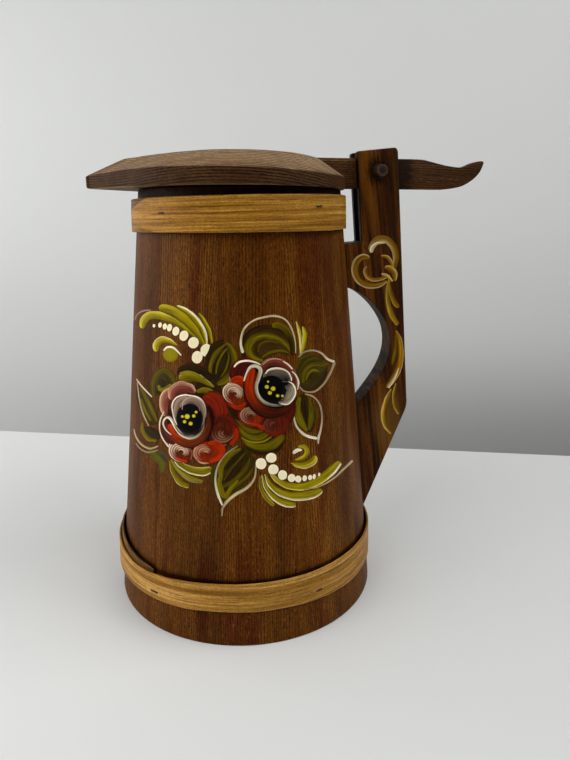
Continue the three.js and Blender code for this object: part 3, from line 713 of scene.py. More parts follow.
# ------------------------------------------------------------------ peg
def peg():
    # mm along Y from the handle's near face, radius across flats, how square to eight sides
    sections = [(-5.38, 0.5, 0.6), (-5.40, 1.35, 0.8), (-5.45, 2.05, 1.0), (-5.42, 2.55, 1.0), (-5.25, 2.85, 1.0), (-4.9, 3.0, 1.0), (-3.4, 3.18, 1.0), (-1.8, 3.42, 1.0), (-0.7, 3.62, 1.0),
                (-0.36, 3.66, 1.0), (-0.3, 3.55, 0.9), (0.0, 3.3, 0.0), (0.8, 3.3, 0.0), (7.5, 3.28, 0.0), (14.6, 3.28, 0.0),
                (15.0, 3.28, 0.0), (16.3, 3.2, 0.3), (16.8, 3.0, 0.5), (16.95, 2.6, 0.5)]
    m, verts = 48, []
    for d, r, eight in sections:
        y = -7.5 + d
        for k in range(m):
            a = 2 * math.pi * k / m
            facet = (a + math.pi / 8) % (math.pi / 4) - math.pi / 8
            flat = 1.0 / math.cos(facet)
            which = int((a + math.pi / 8) // (math.pi / 4)) % 8
            uneven = 1 + eight * 0.035 * math.sin(which * 2.4 + 0.7)
            rr = r * (1 + (flat - 1) * eight) * uneven
            if d < -0.2:
                rr = min(rr, 3.95)
            verts.append((PEG[0] + rr * math.cos(a) + 0.06 * d * eight * 0.3, y, PEG[1] + rr * math.sin(a)))
    faces = grid_faces(len(sections), m, closed_cols=True)
    faces += [tuple(reversed(range(m))), tuple(range((len(sections) - 1) * m, len(sections) * m))]
    ob = fix_normals(new_object("hinge_peg_wood", verts, faces, sharp=24))
    co = coords(ob)
    give(ob, "wood", np.column_stack([co[:, 0] - PEG[0] + 0.6, co[:, 2] - PEG[1] - 0.5, co[:, 1] + 2000]))
    # the whittled end is painted paler at its rim, a painted highlight, and dark at its chipped core, with painted
    # shade in the hollow
    out = np.hypot(co[:, 0] - PEG[0], co[:, 2] - PEG[1])
    core = ease((out - 1.0) / 1.3)
    tone = np.where(co[:, 1] < -7.5 - 5.2, 0.22 + 0.66 * core, 0.34)
    give(ob, "tint", np.column_stack([tone, tone * 1.02, tone * 1.2, np.ones(len(co))]), "FLOAT_COLOR")
    return ob


# ------------------------------------------------------------------ materials
class Nodes:
    def __init__(self, name):
        self.mat = bpy.data.materials.new(name)
        self.mat.use_nodes = True
        self.t = self.mat.node_tree
        self.t.nodes.clear()
        self.out = self.t.nodes.new("ShaderNodeOutputMaterial")
        self.bsdf = self.t.nodes.new("ShaderNodeBsdfPrincipled")
        self.t.links.new(self.bsdf.outputs[0], self.out.inputs[0])

    def link(self, a, socket):
        if hasattr(a, "is_output") or isinstance(a, bpy.types.NodeSocket):
            self.t.links.new(a, socket)
        else:
            socket.default_value = a
        return socket

    def attr(self, name, out="Vector"):
        n = self.t.nodes.new("ShaderNodeAttribute")
        n.attribute_name = name
        return n.outputs[out]

    def vec(self, op, a, b=None, scale=None):
        n = self.t.nodes.new("ShaderNodeVectorMath")
        n.operation = op
        self.link(a, n.inputs[0])
        if b is not None:
            self.link(b, n.inputs[1])
        if scale is not None:
            self.link(scale, n.inputs["Scale"])
        return n.outputs["Value"] if op in ("LENGTH", "DISTANCE", "DOT_PRODUCT") else n.outputs["Vector"]

    def math(self, op, a, b=None, c=None, clamp=False):
        n = self.t.nodes.new("ShaderNodeMath")
        n.operation = op
        n.use_clamp = clamp
        for k, v in enumerate((a, b, c)):
            if v is not None:
                self.link(v, n.inputs[k])
        return n.outputs[0]

    def noise(self, vector, scale=1.0, detail=2.0, rough=0.5, distortion=0.0, out=0):
        n = self.t.nodes.new("ShaderNodeTexNoise")
        self.link(vector, n.inputs["Vector"])
        n.inputs["Scale"].default_value = scale
        n.inputs["Detail"].default_value = detail
        n.inputs["Roughness"].default_value = rough
        n.inputs["Distortion"].default_value = distortion
        return n.outputs[out]

    def wave(self, vector, scale, distortion=0.0, detail=1.0, detail_scale=1.0, profile="SIN", kind="RINGS", phase=0.0):
        n = self.t.nodes.new("ShaderNodeTexWave")
        n.wave_type = kind
        if kind == "RINGS":
            n.rings_direction = "Z"
        n.wave_profile = profile
        self.link(vector, n.inputs["Vector"])
        n.inputs["Scale"].default_value = scale
        n.inputs["Distortion"].default_value = distortion
        n.inputs["Detail"].default_value = detail
        n.inputs["Detail Scale"].default_value = detail_scale
        n.inputs["Phase Offset"].default_value = phase
        return n.outputs["Fac"]

    def remap(self, v, a, b, c=0.0, d=1.0, smooth=True):
        n = self.t.nodes.new("ShaderNodeMapRange")
        n.interpolation_type = "SMOOTHSTEP" if smooth else "LINEAR"
        self.link(v, n.inputs["Value"])
        for key, x in (("From Min", a), ("From Max", b), ("To Min", c), ("To Max", d)):
            n.inputs[key].default_value = x
        return n.outputs["Result"]

    def ramp(self, v, stops, mode="LINEAR"):
        n = self.t.nodes.new("ShaderNodeValToRGB")
        n.color_ramp.interpolation = mode
        e = n.color_ramp.elements
        while len(e) < len(stops):
            e.new(0.5)
        for k, (p, c) in enumerate(stops):
            e[k].position = p
            e[k].color = c
        self.link(v, n.inputs[0])
        return n.outputs[0]

    def mix(self, fac, a, b, mode="MIX"):
        n = self.t.nodes.new("ShaderNodeMix")
        n.data_type = "RGBA"
        n.blend_type = mode
        n.clamp_factor = True
        self.link(fac, n.inputs[0])
        self.link(a, n.inputs[6])
        self.link(b, n.inputs[7])
        return n.outputs[2]

    def bump(self, height, strength, distance):
        n = self.t.nodes.new("ShaderNodeBump")
        n.inputs["Strength"].default_value = strength
        n.inputs["Distance"].default_value = distance
        self.link(height, n.inputs["Height"])
        return n.outputs[0]

    def sep(self, v):
        n = self.t.nodes.new("ShaderNodeSeparateXYZ")
        self.link(v, n.inputs[0])
        return n.outputs

    def comb(self, x, y, z):
        n = self.t.nodes.new("ShaderNodeCombineXYZ")
        for k, v in enumerate((x, y, z)):
            self.link(v, n.inputs[k])
        return n.outputs[0]

    def set(self, name, value):
        self.link(value, self.bsdf.inputs[name])


def wood(name, ochre, red, dark, ring_mm=1.3, depth_lean=0.25, rings="BANDS", line=0.55, pores=0.5, fibre=0.16, zone=0.5,
         rough=(0.38, 0.52), specular=0.4, bump=0.05, warp=2.5, zone_scale=(0.085, 0.0035), jag=0.14, vary=1.0, spots=(), fibre_sheen=0.0, turn_red=(0.40, 0.60)):
    """Stained open-pored wood. The attribute wood holds mm across the board, mm deep and mm along the grain; with rings as
    RINGS, the first two are measured from the pith instead."""
    m = Nodes(name)
    c = m.attr("wood")
    half = (0.5, 0.5, 0.5)
    w1 = m.vec("SUBTRACT", m.noise(m.vec("MULTIPLY", c, (0.022, 0.022, 0.0042)), detail=1.0, out=1), half)
    w2 = m.vec("SUBTRACT", m.noise(m.vec("MULTIPLY", c, (0.11, 0.11, 0.018)), detail=1.0, out=1), half)
    w3 = m.vec("SUBTRACT", m.noise(m.vec("MULTIPLY", c, (0.9, 0.9, 0.26)), detail=1.0, out=1), half)
    cw = m.vec("ADD", m.vec("ADD", c, m.vec("MULTIPLY", w1, (warp * 2, warp * 2, 0.0))), m.vec("MULTIPLY", w2, (warp * 0.4, warp * 0.4, 0.0)))
    cj = m.vec("ADD", cw, m.vec("MULTIPLY", w3, (jag * 2, jag * 2, 0.0)))
    if rings == "BANDS":
        u = m.vec("DOT_PRODUCT", cj, (1.0, depth_lean, 0.0))
    else:
        u = m.vec("LENGTH", m.vec("MULTIPLY", cj, (1.0, 1.0, 0.0)))
    slow = m.noise(m.comb(m.math("MULTIPLY", u, 0.075), 3.3, 0.0), detail=1.0)
    phase = m.math("ADD", m.math("DIVIDE", u, ring_mm), m.math("MULTIPLY", slow, 3.0 * vary))
    fr = m.math("FRACT", phase)
    late = m.math("MULTIPLY", m.remap(fr, 0.30, 0.80), m.remap(fr, 0.90, 1.0, 1.0, 0.0))
    # broad changes of tone and hue, drawn out along the grain
    zs, zl = zone_scale
    za = m.noise(m.vec("MULTIPLY", cw, (zs, zs, zl)), detail=2.0, rough=0.5)
    zb = m.noise(m.vec("ADD", m.vec("MULTIPLY", cw, (zs * 2.3, zs * 2.3, zl * 2.0)), (17.0, 3.0, 5.0)), detail=2.0, rough=0.5)
    zc = m.noise(m.vec("ADD", m.vec("MULTIPLY", cw, (zs * 1.2, zs * 1.2, zl)), (41.0, 9.0, 2.0)), detail=1.0)
    hue = m.remap(m.math("ADD", m.math("MULTIPLY", za, 0.6), m.math("MULTIPLY", zb, 0.4)), turn_red[0], turn_red[1])
    col = m.mix(hue, red, ochre)
    value = m.remap(m.math("ADD", m.math("MULTIPLY", zb, 0.5), m.math("MULTIPLY", zc, 0.5)), 0.36, 0.64, 1.0 - zone * 0.55, 1.0 + zone * 0.45, smooth=False)
    col = m.mix(1.0, col, m.comb(value, value, value), "MULTIPLY")
    strength = m.math("MULTIPLY", m.remap(zc, 0.36, 0.62, 0.45, 1.0), line)
    col = m.mix(m.math("MULTIPLY", late, strength), col, dark)
    # fine fibre
    f = m.noise(m.vec("MULTIPLY", c, (3.1, 3.1, 0.42)), detail=2.0, rough=0.6)
    f2 = m.noise(m.vec("MULTIPLY", c, (1.3, 1.3, 0.05)), detail=2.0, rough=0.5)
    fib = m.math("ADD", m.math("MULTIPLY", f, 0.55), m.math("MULTIPLY", f2, 0.45))
    gain = m.remap(fib, 0.34, 0.66, 1.0 - fibre * 1.6, 1.0 + fibre * 1.6, smooth=False)
    col = m.mix(1.0, col, m.comb(gain, gain, gain), "MULTIPLY")
    # pores: short dashes along the grain, most of them in the dark lines
    p = m.noise(m.vec("MULTIPLY", cj, (1.75, 1.75, 0.36)), detail=1.0, rough=0.5)
    pore = m.math("MULTIPLY", m.remap(p, 0.56, 0.68), m.remap(late, 0.0, 0.8, 0.45, 1.0))
    p2 = m.noise(m.vec("MULTIPLY", c, (3.4, 3.4, 0.80)), detail=0.0)
    pore2 = m.remap(p2, 0.60, 0.70)
    dip = m.math("MAXIMUM", pore, m.math("MULTIPLY", pore2, 0.6))
    col = m.mix(m.math("MULTIPLY", dip, pores), col, [v * 0.45 for v in dark[:3]] + [1.0])
    # short pale dashes, a painted sheen where light catches the raised grain
    p3 = m.noise(m.vec("ADD", m.vec("MULTIPLY", cj, (2.3, 2.3, 0.5)), (7.0, 5.0, 3.0)), detail=1.0)
    pale = m.math("MULTIPLY", m.remap(p3, 0.54, 0.68), m.remap(zb, 0.42, 0.6, 0.35, 1.0))
    col = m.mix(m.math("MULTIPLY", pale, fibre_sheen), col, [min(1.0, v * 2.1 + 0.012) for v in ochre[:3]] + [1.0])
    # stains, and spots of painted shade: centre and reach in the attribute's own mm, colour, strength
    for centre, reach, stain, amount in spots:
        d = m.vec("LENGTH", m.vec("MULTIPLY", m.vec("SUBTRACT", cw, centre), tuple(1.0 / v for v in reach)))
        d = m.math("ADD", d, m.math("MULTIPLY", m.math("SUBTRACT", fib, 0.5), 1.6))
        col = m.mix(m.remap(d, 0.35, 1.0, amount, 0.0), col, stain)
    col = m.mix(1.0, col, m.attr("tint", "Color"), "MULTIPLY")
    m.set("Base Color", col)
    r = m.remap(m.math("ADD", m.math("MULTIPLY", fib, 0.6), m.math("MULTIPLY", za, 0.4)), 0.35, 0.65, rough[0], rough[1], smooth=False)
    m.set("Roughness", r)
    m.set("Specular IOR Level", specular)
    h = m.math("SUBTRACT", m.math("SUBTRACT", m.math("MULTIPLY", fib, 0.6), m.math("MULTIPLY", late, 0.2)), m.math("MULTIPLY", dip, 0.8))
    m.set("Normal", m.bump(h, 1.0, bump * MM))
    return m.mat


def willow(name):
    """Split willow: honey tan, with dark fibres along it and darker dirty patches."""
    m = Nodes(name)
    c = m.attr("wood")
    w1 = m.noise(m.vec("MULTIPLY", c, (0.10, 0.10, 0.012)), detail=2.0, out=1)
    cw = m.vec("ADD", c, m.vec("MULTIPLY", m.vec("SUBTRACT", w1, (0.5, 0.5, 0.5)), (1.6, 1.6, 0.0)))
    a = m.noise(m.vec("MULTIPLY", cw, (0.30, 0.30, 0.014)), detail=3.0, rough=0.55)
    b = m.noise(m.vec("MULTIPLY", cw, (1.1, 1.1, 0.012)), detail=2.0, rough=0.5)
    tone = m.math("ADD", m.math("MULTIPLY", a, 0.5), m.math("MULTIPLY", b, 0.5))
    col = m.ramp(m.remap(tone, 0.38, 0.62, smooth=False), [(0.0, srgb(116, 74, 12)), (0.35, srgb(146, 100, 24)), (0.7, srgb(170, 121, 38)), (1.0, srgb(192, 146, 62))])
    # dark fibres
    f = m.noise(m.vec("MULTIPLY", cw, (2.5, 2.5, 0.15)), detail=3.0, rough=0.7)
    dark = m.remap(f, 0.51, 0.66, 0.0, 0.8)
    col = m.mix(m.math("MULTIPLY", dark, 0.6), col, srgb(88, 54, 15))
    f2 = m.noise(m.vec("MULTIPLY", cw, (1.7, 1.7, 0.036)), detail=2.0, rough=0.6)
    streak = m.remap(f2, 0.605, 0.67, 0.0, 0.66)
    col = m.mix(streak, col, srgb(58, 32, 10))
    g = m.noise(m.vec("MULTIPLY", c, (3.2, 3.2, 0.9)), detail=3.0, rough=0.7)
    gain = m.remap(g, 0.3, 0.7, 0.60, 1.40, smooth=False)
    col = m.mix(1.0, col, m.comb(gain, gain, gain), "MULTIPLY")
    patch = m.noise(m.vec("MULTIPLY", c, (0.08, 0.08, 0.02)), detail=3.0, rough=0.6)
    col = m.mix(m.remap(patch, 0.55, 0.75, 0.0, 0.35), col, srgb(110, 68, 22))
    col = m.mix(1.0, col, m.attr("tint", "Color"), "MULTIPLY")
    m.set("Base Color", col)
    m.set("Roughness", m.remap(g, 0.3, 0.7, 0.38, 0.52, smooth=False))
    m.set("Specular IOR Level", 0.1)
    h = m.math("SUBTRACT", m.math("MULTIPLY", g, 0.5), m.math("ADD", m.math("MULTIPLY", dark, 0.5), m.math("MULTIPLY", streak, 0.6)))
    m.set("Normal", m.bump(h, 1.0, 0.07 * MM))
    return m.mat


def wire(name):
    m = Nodes(name)
    n = m.t.nodes.new("ShaderNodeTexCoord")
    g = m.noise(n.outputs["Object"], scale=2200, detail=3.0, rough=0.6)
    m.set("Base Color", m.ramp(g, [(0.3, srgb(22, 16, 12)), (0.6, srgb(52, 40, 30)), (0.8, srgb(96, 70, 46))]))
    m.set("Metallic", 0.35)
    m.set("Roughness", m.remap(g, 0.3, 0.7, 0.42, 0.7))
    m.set("Normal", m.bump(g, 0.6, 0.02 * MM))
    return m.mat


def plain_board(name):
    """The bottom board, seen inside and below: unvarnished, with the grain across."""
    m = Nodes(name)
    n = m.t.nodes.new("ShaderNodeTexCoord")
    c = m.vec("SCALE", n.outputs["Object"], scale=1000.0)
    s = m.sep(c)
    c2 = m.comb(s[1], m.math("ADD", s[2], 30.0), s[0])
    w1 = m.noise(m.vec("MULTIPLY", c2, (0.05, 0.05, 0.012)), detail=2.0, out=1)
    cw = m.vec("ADD", c2, m.vec("MULTIPLY", m.vec("SUBTRACT", w1, (0.5, 0.5, 0.5)), (5.0, 5.0, 0.0)))
    ring = m.math("POWER", m.wave(cw, 0.314159 / 2.2, profile="SAW"), 2.6)
    col = m.mix(m.math("MULTIPLY", ring, 0.6), srgb(146, 108, 66), srgb(92, 60, 32))
    f = m.noise(m.vec("MULTIPLY", c2, (3.0, 3.0, 0.08)), detail=3.0, rough=0.6)
    gain = m.remap(f, 0.3, 0.7, 0.72, 1.22, smooth=False)
    col = m.mix(1.0, col, m.comb(gain, gain, gain), "MULTIPLY")
    m.set("Base Color", col)
    m.set("Roughness", m.remap(f, 0.3, 0.7, 0.6, 0.8))
    m.set("Normal", m.bump(m.math("ADD", f, m.math("MULTIPLY", ring, -0.4)), 1.0, 0.08 * MM))
    return m.mat


# ------------------------------------------------------------------ painted ornament
# Brush strokes laid on the wood. Each is drawn in the plane of the picture, as a line with a width, and then carried along
# the camera's rays onto the barrel or the handle's face, so that it lies on the wood from any side.
PITCH = math.radians(15.16)
EYE = np.array([22.563, -316.78, 200.27])
FOCAL = 596.1


def rays(uv):
    uv = np.asarray(uv, float)
    cp, sp = math.cos(PITCH), math.sin(PITCH)
    a, b = (uv[:, 0] - 285.0) / FOCAL, (380.0 - uv[:, 1]) / FOCAL
    d = np.column_stack([a, cp + b * sp, -sp + b * cp])
    ct, st = math.cos(TURN), math.sin(TURN)

    def turn(v):
        return np.column_stack([v[:, 0] * ct + v[:, 1] * st, -v[:, 0] * st + v[:, 1] * ct, v[:, 2]])
    return turn(EYE[None, :])[0], turn(d)


def on_barrel(uv):
    """Where the rays through picture points meet the barrel: angle in degrees, height in mm."""
    e, d = rays(uv)
    k = 0.0979
    r0 = 71.5 - k * e[2]
    a = d[:, 0] ** 2 + d[:, 1] ** 2 - (k * d[:, 2]) ** 2
    b = e[0] * d[:, 0] + e[1] * d[:, 1] + r0 * k * d[:, 2]
    c = e[0] ** 2 + e[1] ** 2 - r0 * r0
    disc = np.maximum(b * b - a * c, 0.0)
    t = (-b - np.sqrt(disc)) / a
    p = e + d * t[:, None]
    return np.degrees(np.arctan2(p[:, 1], p[:, 0])), p[:, 2]


def barrel_points(uv, off):
    deg, z = on_barrel(uv)
    r = face_r(deg, z) + off
    t = np.radians(deg)
    return np.column_stack([r * np.cos(t), r * np.sin(t), z])


def handle_points(uv, off):
    e, d = rays(uv)
    t = (-7.5 - e[1]) / d[:, 1]
    p = e + d * t[:, None]
    p[:, 1] = -7.5 - off
    return p


def smooth_line(points, values, step=0.9):
    """A Catmull-Rom line through points, with a value at each; returned at even steps."""
    p = np.array(points, float)
    w = np.array(values, float)
    q, v = [], []
    for i in range(len(p) - 1):
        a, b, c, d = p[max(0, i - 1)], p[i], p[i + 1], p[min(len(p) - 1, i + 2)]
        wa, wb, wc, wd = w[max(0, i - 1)], w[i], w[i + 1], w[min(len(w) - 1, i + 2)]
        for t in np.linspace(0, 1, 16, endpoint=False):
            m0, m1 = (c - a) * 0.5, (d - b) * 0.5
            q.append((2 * b - 2 * c + m0 + m1) * t ** 3 + (-3 * b + 3 * c - 2 * m0 - m1) * t ** 2 + m0 * t + b)
            v.append(wb + (wc - wb) * t * t * (3 - 2 * t))
    q.append(p[-1])
    v.append(w[-1])
    q, v = np.array(q), np.array(v)
    s = np.concatenate([[0], np.cumsum(np.linalg.norm(np.diff(q, axis=0), axis=1))])
    total = s[-1]
    n = max(4, int(total / step))
    at = np.linspace(0, total, n + 1)
    cap0, cap1 = min(v[0] * 0.5, total * 0.3), min(v[-1] * 0.5, total * 0.3)
    extra = [cap0 * k for k in (0.03, 0.12, 0.3, 0.6)] + [total - cap1 * k for k in (0.03, 0.12, 0.3, 0.6)]
    at = np.unique(np.round(np.concatenate([at, extra]), 3))
    x, y, wv = (np.interp(at, s, f) for f in (q[:, 0], q[:, 1], v))
    g0 = np.clip(at / max(cap0, 1e-6), 0, 1)
    g1 = np.clip((total - at) / max(cap1, 1e-6), 0, 1)
    wv = wv * np.sqrt(np.maximum(1 - (1 - g0) ** 2, 0.004)) * np.sqrt(np.maximum(1 - (1 - g1) ** 2, 0.004))
    return np.column_stack([x, y]), wv, at


ACROSS = np.array([-1.0, -0.9, -0.72, -0.5, -0.25, 0.0, 0.25, 0.5, 0.72, 0.9, 1.0])


class Painting:
    """Gathers strokes into one mesh. A stroke that overlaps earlier ones lies on top of them."""

    def __init__(self, place, box, wet=0.030):
        self.place, self.box, self.wet = place, box, wet
        self.scale = 4
        self.map = np.zeros((int((box[3] - box[1]) * self.scale), int((box[2] - box[0]) * self.scale)), np.int16)
        self.verts, self.faces, self.col, self.brush = [], [], [], []
        self.count = 0

    def level(self, grid):
        """The layer that a stroke goes on, from what already lies under it."""
        rows, cols, _ = grid.shape
        pts = []
        for a in (0.0, 0.33, 0.66):
            for b in (0.0, 0.5):
                g = grid[:-1, :-1] * (1 - a) * (1 - b) + grid[1:, :-1] * a * (1 - b) + grid[:-1, 1:] * (1 - a) * b + grid[1:, 1:] * a * b
                pts.append(g.reshape(-1, 2))
        pts = np.vstack(pts)
        ix = np.clip(((pts[:, 0] - self.box[0]) * self.scale).astype(int), 0, self.map.shape[1] - 1)
        iy = np.clip(((pts[:, 1] - self.box[1]) * self.scale).astype(int), 0, self.map.shape[0] - 1)
        level = int(self.map[iy, ix].max()) + 1
        for dx in (-1, 0, 1):
            for dy in (-1, 0, 1):
                jx, jy = np.clip(ix + dx, 0, self.map.shape[1] - 1), np.clip(iy + dy, 0, self.map.shape[0] - 1)
                self.map[jy, jx] = np.maximum(self.map[jy, jx], level)
        return level

    def stroke(self, points, widths, stops, fade=None, rough=0.06, thick=1.0, jitter=0.05, cover=0.76):
        """stops: (share across from the left-hand side, colour). fade: (share along, colour, how much) mixed in."""
        if np.isscalar(widths):
            widths = [widths] * len(points)
        line, w, at = smooth_line(points, widths)
        tangent = np.gradient(line, axis=0)
        tangent /= np.maximum(np.linalg.norm(tangent, axis=1, keepdims=True), 1e-9)
        left = np.column_stack([tangent[:, 1], -tangent[:, 0]])
        n = len(line)
        k = self.count
        self.count += 1
        edge = np.array([[1 + rough * noise.noise(Vector((s * 0.22, k * 3.7, side * 5.0))) +
                          rough * 0.5 * noise.noise(Vector((s * 0.9, k * 3.7, side * 5.0))) for side in (0, 1)] for s in at])
        half = np.where(ACROSS[None, :] < 0, edge[:, :1], edge[:, 1:]) * w[:, None] * 0.5
        grid = line[:, None, :] + left[:, None, :] * (-ACROSS[None, :] * half)[:, :, None]
        level = self.level(grid)
        dome = (1 - np.abs(ACROSS) ** 4)
        height = level * self.wet + self.wet * 0.9 * thick * dome
        top = self.place(grid.reshape(-1, 2), np.tile(height, n))
        bottom = self.place(grid[:, [0, -1], :].reshape(-1, 2), np.full(2 * n, -0.06))
        start, m = len(self.verts), len(ACROSS)
        self.verts += top.tolist() + bottom.tolist()
        quads = []
        for i in range(n - 1):
            for j in range(m - 1):
                a = start + i * m + j
                quads.append((a, a + 1, a + m + 1, a + m))
            b = start + n * m + 2 * i
            a = start + i * m
            quads.append((b, a, a + m, b + 2))
            quads.append((a + m - 1, b + 1, b + 3, a + 2 * m - 1))
            quads.append((b + 1, b, b + 2, b + 3))
        b = start + n * m
        quads.append(tuple(start + j for j in reversed(range(m))) + (b, b + 1))
        e, b2 = start + (n - 1) * m, b + 2 * (n - 1)
        quads.append(tuple(e + j for j in range(m)) + (b2 + 1, b2))
        self.faces += quads
        pos = np.array([s[0] for s in stops])
        cols = np.array([lin(s[1]) for s in stops])
        share = np.tile((ACROSS + 1) / 2, (n, 1))
        share = share + jitter * np.array([noise.noise(Vector((s * 0.12, k * 1.9, 8.0))) for s in at])[:, None] * np.sin(np.pi * share)
        c = np.stack([np.interp(share, pos, cols[:, q]) for q in range(3)], axis=-1)
        if fade:
            along = at / max(at[-1], 1e-6)
            fpos = np.array([f[0] for f in fade])
            fcol = np.array([lin(f[1]) for f in fade])
            famt = np.array([f[2] for f in fade])
            amt = np.interp(along, fpos, famt)[:, None, None]
            fc = np.stack([np.interp(along, fpos, fcol[:, q]) for q in range(3)], axis=-1)[:, None, :]
            c = c * (1 - amt) + fc * amt
        cc = np.concatenate([c.reshape(-1, 3), c[:, [0, -1], :].reshape(-1, 3)])
        tail = np.interp(at / max(at[-1], 1e-6), [0.0, 0.1, 0.6, 1.0], [-0.04, 0.06, 0.0, -0.22])
        al = cover + tail[:, None] + np.where(w.max() > 3.2, -0.10, 0.12) * np.abs(ACROSS)[None, :] ** 3
        self.col.append(np.column_stack([cc, np.clip(np.concatenate([al.ravel(), al[:, [0, -1]].ravel()]), 0, 1)]))
        br = np.stack([(ACROSS[None, :] * half) * 0.42 + k * 13.0, np.tile(at[:, None], (1, m)) * 0.42, np.full((n, m), k * 1.0)], axis=-1)
        self.brush.append(np.concatenate([br.reshape(-1, 3), br[:, [0, -1], :].reshape(-1, 3)]))

    def blob(self, cx, cy, rx, ry, stops, tilt=0.0, rough=0.05, thick=1.0, cover=0.92):
        """A dab of paint: stops run from the middle (0) to the edge (1)."""
        k = self.count
        self.count += 1
        m = 28
        rings = np.array([0.25, 0.5, 0.72, 0.88, 0.97, 1.0])
        a = np.linspace(0, 2 * np.pi, m, endpoint=False)
        un = np.array([1 + rough * noise.noise(Vector((math.cos(q) * 1.6, math.sin(q) * 1.6, k * 3.1))) for q in a])
        ct, st = math.cos(math.radians(tilt)), math.sin(math.radians(tilt))
        ex, ey = np.cos(a) * rx * un, np.sin(a) * ry * un
        px, py = ex * ct - ey * st, ex * st + ey * ct
        grid = np.stack([cx + rings[:, None] * px[None, :], cy + rings[:, None] * py[None, :]], axis=-1)
        closed = np.concatenate([grid, grid[:, :1]], axis=1)
        level = self.level(closed)
        dome = np.sqrt(np.maximum(1 - rings ** 2.5, 0.0))
        height = (level * self.wet + self.wet * 1.4 * thick * dome)[:, None] * np.ones((1, m))
        top = self.place(grid.reshape(-1, 2), height.ravel())
        mid = self.place(np.array([[cx, cy]]), np.array([level * self.wet + self.wet * 1.4 * thick]))
        bottom = self.place(grid[-1], np.full(m, -0.06))
        start = len(self.verts)
        self.verts += top.tolist() + mid.tolist() + bottom.tolist()
        c0, b0 = start + len(rings) * m, start + len(rings) * m + 1
        for j in range(m):
            j2 = (j + 1) % m
            self.faces.append((c0, start + j, start + j2))
            for i in range(len(rings) - 1):
                self.faces.append((start + i * m + j, start + (i + 1) * m + j, start + (i + 1) * m + j2, start + i * m + j2))
            e = start + (len(rings) - 1) * m
            self.faces.append((e + j, b0 + j, b0 + j2, e + j2))
        self.faces.append(tuple(b0 + j for j in reversed(range(m))))
        pos = np.array([s[0] for s in stops])
        cols = np.array([lin(s[1]) for s in stops])
        c = np.stack([np.interp(rings, pos, cols[:, q]) for q in range(3)], axis=-1)
        c = np.repeat(c[:, None, :], m, axis=1).reshape(-1, 3)
        cm = np.array([[np.interp(0.0, pos, cols[:, q]) for q in range(3)]])
        cc = np.concatenate([c, cm, np.repeat(c[-1:], m, axis=0)])
        self.col.append(np.column_stack([cc, np.full(len(cc), cover)]))
        br = np.concatenate([grid.reshape(-1, 2), [[cx, cy]], grid[-1]]) * 0.42
        self.brush.append(np.column_stack([br[:, 0] + k * 13.0, br[:, 1], np.full(len(br), k * 1.0)]))

    def build(self, name):
        ob = new_object(name, self.verts, self.faces, sharp=50)
        import bmesh
        bm = bmesh.new()
        bm.from_mesh(ob.data)
        bmesh.ops.recalc_face_normals(bm, faces=bm.faces)
        bm.to_mesh(ob.data)
        bm.free()
        ob.data.shade_smooth()
        ob.data.set_sharp_from_angle(angle=math.radians(50))
        give(ob, "paint", np.vstack(self.col), "FLOAT_COLOR")
        give(ob, "brush", np.vstack(self.brush))
        return ob


def lin(c):
    """A colour as it shows in soft light, 0 to 255, to the paint's own linear colour."""
    return np.array(srgb(*c)[:3]) * 1.12


def over(a, b, t):
    return tuple(p + (q - p) * t for p, q in zip(a, b))


WHITE, CREAM, PALE = (240, 228, 200), (224, 208, 140), (176, 156, 122)
YELLOW, LIME, OLIVE, MOSS, SHADE = (190, 170, 40), (154, 136, 5), (98, 84, 4), (72, 59, 4), (44, 29, 5)
LEAF, BUD = (118, 103, 4), (142, 126, 20)
INK, SMOKE, ASH = (8, 8, 10), (58, 50, 46), (122, 110, 98)
MAUVE, ROSE_PINK, WINE = (100, 41, 30), (168, 112, 84), (80, 19, 11)
ORANGE, RED, RUST, BRICK = (164, 43, 4), (136, 30, 4), (92, 37, 5), (58, 17, 5)
GOLD, OCHRE, HONEY, STRAW = (148, 100, 10), (116, 80, 9), (90, 60, 8), (190, 164, 108)


def swirl(p, cx, cy, r, start, sweep, n, light, body, tilt=0.0, grow=0.80):
    """A petal turned with a loaded brush: fine pale arcs, one inside another, on a body colour."""
    for i in range(n):
        k = 1 - grow * i / max(n - 1, 1)
        rr = r * k
        a0 = math.radians(start + i * 12 + 9 * math.sin(i * 2.3))
        pts = []
        for t in np.linspace(0, 1, 9):
            a = a0 + math.radians(sweep) * t
            x, y = rr * math.cos(a), rr * 0.82 * math.sin(a)
            c, s = math.cos(math.radians(tilt)), math.sin(math.radians(tilt))
            pts.append((cx + x * c - y * s + (1 - k) * r * 0.16, cy + x * s + y * c - (1 - k) * r * 0.05))
        lightness = over(light, body, (0.0, 0.45, 0.15, 0.55)[i % 4])
        wd = max(r * (0.13, 0.08, 0.11, 0.07)[i % 4], 0.55)
        p.stroke(pts, [wd * 0.3, wd * 0.7, wd, wd * 1.2, wd * 1.2, wd * 1.1, wd * 0.9, wd * 0.6, wd * 0.3],
                 [(0, over(lightness, body, 0.3)), (0.5, lightness), (1, over(lightness, body, 0.6))],
                 fade=[(0, body, 0.75), (0.3, body, 0.15), (0.55, body, 0.0), (0.8, body, 0.35), (1, body, 0.85)])


def comma(p, pts, widths, outer, body, inner, white=0.10, fade=None):
    """A stroke from a brush loaded with two colours: the outer edge on the left-hand side of its way."""
    p.stroke(pts, widths, [(0, outer), (white, outer), (white + 0.16, over(outer, body, 0.75)), (0.42, body), (0.78, over(body, inner, 0.5)), (1, inner)], fade=fade)


